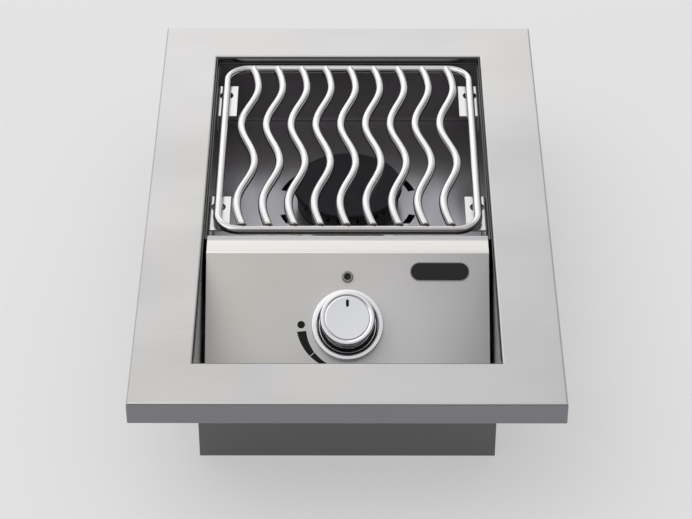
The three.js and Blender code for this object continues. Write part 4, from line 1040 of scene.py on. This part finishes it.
front_bead, rear_bead = front_y + ROD * 0.52, rear_y - ROD * 0.5
recipe = Recipe(
    "grate_welds",
    pitch=pitch,
    front=(swing_at(front_bead), front_bead, rod_z - ROD * 0.12),
    rear=(swing_at(rear_bead), rear_bead, rod_z - ROD * 0.25),
)
ends = [row_across(recipe, recipe[label]) for label in ("front", "rear")]
least, most = (-0.4, -0.4, -0.5), (0.4, 0.4, 0.5)
spin = recipe.node("FunctionNodeRandomValue", {"data_type": "FLOAT_VECTOR"}, {0: least, 1: most, "Seed": 4})
beads = recipe.copies(recipe.join(*ends), recipe["Start"], Rotation=spin)
mesh = recipe.grow(beads, bead_finish, start=lump("bead", (4.6, 1.3, 2.4), 3.0))
keep(mesh, bead_finish, "grate", "rod_steel")

# %% [markdown]
# ### The burner head and its ports
# The head is a cast bowl with a neck through the pan, and a ring of flame ports is cut into its rim. Dark
# stripes could stand for the ports, but they show in outline when the cap is lifted. So the tree sets one
# cutter on each point of a circle, turns it to face outwards, and subtracts them all at once.

# %% Burner head
PORTS = 32
PORT_WIDTH, PORT_DEPTH, HEAD_WALL = 2.4 * MM, 6 * MM, 5.0
head_low, head_high = (corner[2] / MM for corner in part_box("burner_head"))
NECK, THROAT, NECK_LENGTH, HEAD_FLOOR = 17.0, 13.0, 14.0, 4.0
bowl = turned("head", [
    (THROAT, head_low),
    (NECK, head_low, 0.6),
    (NECK, head_low + NECK_LENGTH),
    (HEAD, head_low + NECK_LENGTH, 1.5),
    (HEAD, head_high, 0.6),
    (HEAD - HEAD_WALL, head_high, 0.6),
    (HEAD - HEAD_WALL, head_low + NECK_LENGTH + HEAD_FLOOR, 2.0),
    (THROAT + HEAD_FLOOR, head_low + NECK_LENGTH + HEAD_FLOOR, 2.0),
    (THROAT, head_low + NECK_LENGTH, 2.0),
], burner_axis)
recipe = Recipe(
    "burner_head_ported",
    count=PORTS,
    middle=(burner_middle.x, burner_middle.y, head_high * MM),
    port=(HEAD_WALL * 3 * MM, PORT_WIDTH, PORT_DEPTH * 2),
    radius=(HEAD - HEAD_WALL / 2) * MM,
)
circle = recipe.shape("MeshCircle", {"Vertices": recipe["count"], "Radius": recipe["radius"]})
x, y, _ = recipe.parts(recipe.shape("InputPosition"))
outwards = recipe.vector(0.0, 0.0, y.math("ARCTAN2", y, x))
cutter = recipe.shape("MeshCube", [recipe["port"]])
cutters = recipe.moved(recipe.copies(circle, cutter, Rotation=outwards), "middle")
ported = recipe.cut(recipe["Start"], recipe.shape("RealizeInstances", [cutters]))
mesh = recipe.grow(ported, burner_casting, start=bowl)
mesh.set_sharp_from_angle(angle=EDGE_ANGLE)
keep(mesh, burner_casting, "base", "cast_aluminium", "burner_head")

# %% [markdown]
# ### Screws
# Small pan-head screws hold the valve, the burner and the panel's side flanges. Each could be placed alone,
# but they come in pairs. So one tree cuts a cross into a turned head and repeats it along a row, and each row
# is told where it starts and which way it faces. The cut is made a thousand times too large and scaled down
# afterwards, because Boolean tools fail on tiny shapes.

# %% A screw and a row of screws
PAN_HEAD, HEAD_TOP, SHANK = 3.7, 2.3, 1.9


def screw(length):
    """A pan-head screw that stands on local height zero."""
    return turned("screw", [
        (0, HEAD_TOP),
        (2.4, HEAD_TOP - 0.3, 0.8),
        (PAN_HEAD, 0.8, 0.5),
        (PAN_HEAD, 0.0, 0.2),
        (SHANK, 0.0),
        (SHANK, -length, 0.3),
        (0, -length),
    ], Matrix.Scale(1 / MM, 4), sides=32)


def screw_row(name, first, step, turn, length=4.0):
    """Two equal screws, one step apart."""
    recipe = Recipe(
        name,
        count=2,
        first=tuple(first),
        step=tuple(step),
        turn=tuple(turn),
        slot=(4.2, 0.9, 2.4),
        top=(0.0, 0.0, 2.4),
        scale=(MM, MM, MM),
    )
    bar = recipe.moved(recipe.shape("MeshCube", [recipe["slot"]]), "top")
    across = {"Geometry": bar, "Rotation": (0, 0, math.pi / 2), "Scale": (1, 1, 1.05)}
    crossed = recipe.shape("Transform", across)
    cut = recipe.cut(recipe["Start"], bar)
    cut = recipe.cut(cut, crossed)
    line = {"Count": recipe["count"], "Start Location": recipe["first"], "Offset": recipe["step"]}
    row = recipe.shape("MeshLine", line)
    screws = recipe.copies(row, cut, Rotation=recipe["turn"], Scale=recipe["scale"])
    mesh = recipe.grow(screws, bright_chrome, start=screw(length))
    mesh.set_sharp_from_angle(angle=EDGE_ANGLE)
    keep(mesh, bright_chrome, "base", "chrome")


# %% Panel, valve and burner screws
FLANGE_MIDDLE, UPPER_SCREW, LOWER_SCREW = -6.7, 34, -40
screw_heights = (UPPER_SCREW, LOWER_SCREW)
upper, lower = (on_panel @ (Vector((0, up, FLANGE_MIDDLE)) * MM) for up in screw_heights)
for side, label in ((-1, "left"), (1, "right")):
    first = Vector((side * box_high[0], upper.y, upper.z))
    screw_row(f"panel_screws_{label}", first, lower - upper, (0, side * math.pi / 2, 0), length=0.9)
VALVE_SCREW, SUNK = 17.0, 0.9
ear = on_panel @ (Vector((-VALVE_SCREW, 0, LINER_FLOOR - SUNK)) * MM)
screw_row("valve_screws", ear, (2 * VALVE_SCREW * MM, 0, 0), (panel_slope, 0, 0))
FLANGE_SCREW, FLANGE_SHEET = 28.0, 3.6
flange_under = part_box("burner_pan")[0][2] - FLANGE_SHEET * MM
first = (-FLANGE_SCREW * MM, burner_middle.y, flange_under)
screw_row("burner_screws", first, (2 * FLANGE_SCREW * MM, 0, 0), (math.pi, 0, 0))

# %% [markdown]
# ## Marks on the panel
# A black wedge round the knob's lower left tells how far the gas is open: wide where the flame is high, thin
# where it is low. The plate on the right and the spot above the wedge are left plain. All of them could be
# masks in the panel's steel, but as thin pieces they keep sharp outlines and a small real edge.

# %% Flame wedge
PRINT = 0.08
WEDGE_START, WEDGE_END, WEDGE_STEPS = 187.0, 268.0, 24
WEDGE_FAR, WEDGE_NEAR = 43.9, 35.9
TICK, HALF_TICK = 219.5, 0.45


def wedge_outline(start, end):
    """Part of an arc band round the knob that narrows from nine o'clock to six o'clock."""
    outer, inner = [], []
    for k in range(WEDGE_STEPS + 1):
        angle = start + (end - start) * k / WEDGE_STEPS
        share = (angle - WEDGE_START) / (WEDGE_END - WEDGE_START)
        across, up = math.cos(math.radians(angle)), math.sin(math.radians(angle))
        far, near = WEDGE_FAR - 5.0 * share, WEDGE_NEAR + 2.0 * share
        outer.append((far * across, far * up))
        inner.append((near * across, near * up))
    return outer + inner[::-1]


for label, start, end in (("wide", WEDGE_START, TICK - HALF_TICK), ("thin", TICK + HALF_TICK, WEDGE_END)):
    wedge = stamped("flame_wedge_" + label, wedge_outline(start, end), 0.0, PRINT, on_panel)
    keep(wedge, black_ink, "base", "black_plastic")
print("wedge degrees", WEDGE_START, WEDGE_END)

# %% Spot and plate
SPOT = 6.6
spot = stamped("ignite_spot", pill(SPOT, SPOT, at=(-40.0, 1.0)), 0.0, PRINT, on_panel)
keep(spot, black_ink, "base", "black_plastic")
PLATE, PLATE_AT, PLATE_BORDER = (50.0, 15.0), (80.0, 47.8), 1.6
plate = stamped("blank_plate", pill(*PLATE, at=PLATE_AT), 0.0, 1.0, on_panel)
piece = keep(plate, black_plastic, "base", "black_plastic")
bevel = piece.modifiers.new("plate_edge", "BEVEL")
bevel.width = 0.4 * MM
bevel.segments = 3
rim = pill(PLATE[0] + PLATE_BORDER, PLATE[1] + PLATE_BORDER, at=PLATE_AT)
border = stamped("plate_border", rim, 0.0, 0.5, on_panel)
keep(border, dull_nickel, "base", "dark_nickel")
print("plate mm", PLATE)

# %% [markdown]
# ## Working parts under the panel and pan
# Valve, tubes, mixer, orifice and spark module hide inside, but they show through the vents and when pieces
# are taken apart. They could stay plain CAD solids, but next to the fine pieces those look unfinished, so
# they get their own finishes and softened edges too.

# %% Inner pieces
INNER = [
    ("mixer_tube", cast_metal, "cast_aluminium"),
    ("burner_stand", shell_steel, "shell_steel"),
    ("orifice_holder", brass, "brass"),
    ("valve_bonnet", cast_metal, "cast_aluminium"),
    ("valve_body", cast_metal, "cast_aluminium"),
    ("igniter_switch", black_plastic, "black_plastic"),
    ("spark_module", black_plastic, "black_plastic"),
    ("electrode_insulator", white_ceramic, "white_ceramic"),
    ("electrode_clip", shell_steel, "shell_steel"),
    ("electrode_wire", dull_nickel, "shell_steel"),
    ("supply_tube", bracket_steel, "shell_steel"),
    ("supply_nut_valve", brass, "brass"),
    ("supply_nut_inlet", brass, "brass"),
    ("gas_inlet", brass, "brass"),
    ("inlet_lock_nut", brass, "brass"),
    ("feed_tube", bracket_steel, "shell_steel"),
    ("feed_nut_valve", brass, "brass"),
]
for node, material, slot in INNER:
    refined(node, material, slot, edge=0.15)
refined("air_shutter", bracket_steel, "shell_steel", edge=0.15, body="shutter")
refined("thrust_washer", dull_nickel, "shell_steel", edge=0.15, body="knob_carrier")
refined("valve_stem", brass, "brass", edge=0.15, body="knob")
print("inner pieces", len(INNER) + 3)

# %% [markdown]
# ## The floor
# The burner lies on pale paper. A floor that only glows white would lose the burner's shadow, and bare paper
# turns grey under soft light. So the floor is paper that shows partly as plain white, to the camera and to
# mirrors alone, which keeps it pale and keeps its shadow.

# %% Floor
floor_finish = Finish("pale_floor", Roughness=0.9)
speck = floor_finish.grain((3, 3, 3), 2.0)
floor_finish.dress(Base_Color=floor_finish.blend(speck, grey(0.82), grey(0.85)))
WHITE_SHARE = 0.45
rays = floor_finish.node("ShaderNodeLightPath").socket.node.outputs
seen = Number(floor_finish, rays["Is Camera Ray"])
for label in ("Is Glossy Ray", "Is Transmission Ray"):
    seen = seen.math("MAXIMUM", seen, Number(floor_finish, rays[label]))
white = floor_finish.node("ShaderNodeEmission", {}, [(1, 1, 1, 1), 1.0])
lit = Number(floor_finish, floor_finish.shader.outputs[0])
paper = floor_finish.node("ShaderNodeMixShader", {}, [seen * WHITE_SHARE, lit, white])
floor_finish.feed(floor_finish.tree.nodes["Material Output"].inputs["Surface"], paper)
FLOOR = 12.0
floor_mesh = bpy.data.meshes.new("floor")
corners = [(x * FLOOR, y * FLOOR, 0) for x, y in ((-1, -1), (1, -1), (1, 1), (-1, 1))]
floor_mesh.from_pydata(corners, [], [(0, 1, 2, 3)])
floor_mesh.materials.append(floor_finish.material)
linked("floor", floor_mesh)
print("floor width m", 2 * FLOOR)

# %% [markdown]
# ## The sky
# The studio is bright overhead and behind the burner, brighter on the left, and dark low in front and at the
# sides. An even white world could light it as well, but metal shows what it mirrors: the trim's flat top
# needs the bright part, and the walls of the well need the dark one, which gives the well its depth. So the
# world's strength is worked out from the direction in which a ray leaves.

# %% Sky
world = bpy.data.worlds.new("studio")
world.use_nodes = True
bpy.context.scene.world = world
sky = Graph(world.node_tree)
direction = sky.node("ShaderNodeTexCoord", output="Generated")
left_right, front_back, up = sky.parts(direction)
soft = {"interpolation_type": "SMOOTHSTEP"}


def ramp(value, low, high, start, end):
    """A smooth step between two directions of the sky."""
    return sky.node("ShaderNodeMapRange", soft, [value, low, high, start, end])


LEFT_SHARE = 0.45
HORIZON_LEFT, FRONT_LEFT, SIDE_LOST = 0.12, 0.35, 0.86
level = ramp(up, 0.6, 0.85, 0.76, 0.74) * (1.0 - left_right * LEFT_SHARE)
horizon = ramp(up, 0.02, 0.15, HORIZON_LEFT, 1.0)
front = ramp(front_back, -0.76, -0.54, FRONT_LEFT, 1.0)
side = ramp(left_right.math("ABSOLUTE", left_right), 0.56, 0.8, 0.0, SIDE_LOST)
low_side = 1.0 - side * ramp(up, 0.4, 0.7, 1.0, 0.0)
glow = level * horizon * front * low_side
background = world.node_tree.nodes["Background"]
background.inputs["Color"].default_value = (1, 1, 1, 1)
sky.feed(background.inputs["Strength"], glow)
print("sky nodes", len(world.node_tree.nodes))

# %% [markdown]
# ## The lamps
# A studio lights such a thing with softboxes. A sun lamp would do for brightness, but its shadows are hard,
# and a small lamp shows as a spot in every mirror. So two wide square area lamps add soft light and gentle
# shadows.

# %% Lamps
def softbox(name, location, width, strength):
    """A square area lamp that faces the burner and looks as bright as the given strength."""
    data = bpy.data.lights.new(name, "AREA")
    data.size = width
    data.energy = strength * math.pi * width ** 2
    lamp = linked(name, data)
    lamp.location = location
    lamp.rotation_euler = (lamp.location * -1).to_track_quat("-Z", "Y").to_euler()


softbox("softbox_behind", (-0.15, 1.6, 0.7), 1.1, 0.32)
softbox("softbox_overhead", (-0.95, -0.3, 2.0), 2.2, 0.34)
print("lamps", len(bpy.data.lights))

# %% [markdown]
# ## The camera
# The photograph was taken through a long lens from the front, about 38 degrees above the level. A camera
# could be set by eye, but this one's angles and distance were fitted to the corners of the trim, so the
# picture's proportions come out the same.

# %% Camera
camera_data = bpy.data.cameras.new("photo_camera")
camera_data.sensor_width = 36.0
camera_data.lens = 125.9
camera_data.clip_end = 30.0
camera = linked("photo_camera", camera_data)
CAMERA_SPOT = (0.0037, -1.7386, 1.4138)
LOOK_DOWN, YAW, TILT = (math.radians(angle) for angle in (37.97, 0.175, -0.061))
camera.matrix_world = (
    Matrix.Translation(CAMERA_SPOT)
    @ Matrix.Rotation(YAW, 4, "Z")
    @ Matrix.Rotation(math.pi / 2 - LOOK_DOWN, 4, "X")
    @ Matrix.Rotation(TILT, 4, "Z")
)
scene = bpy.context.scene
scene.camera = camera
scene.view_settings.view_transform = "Standard"
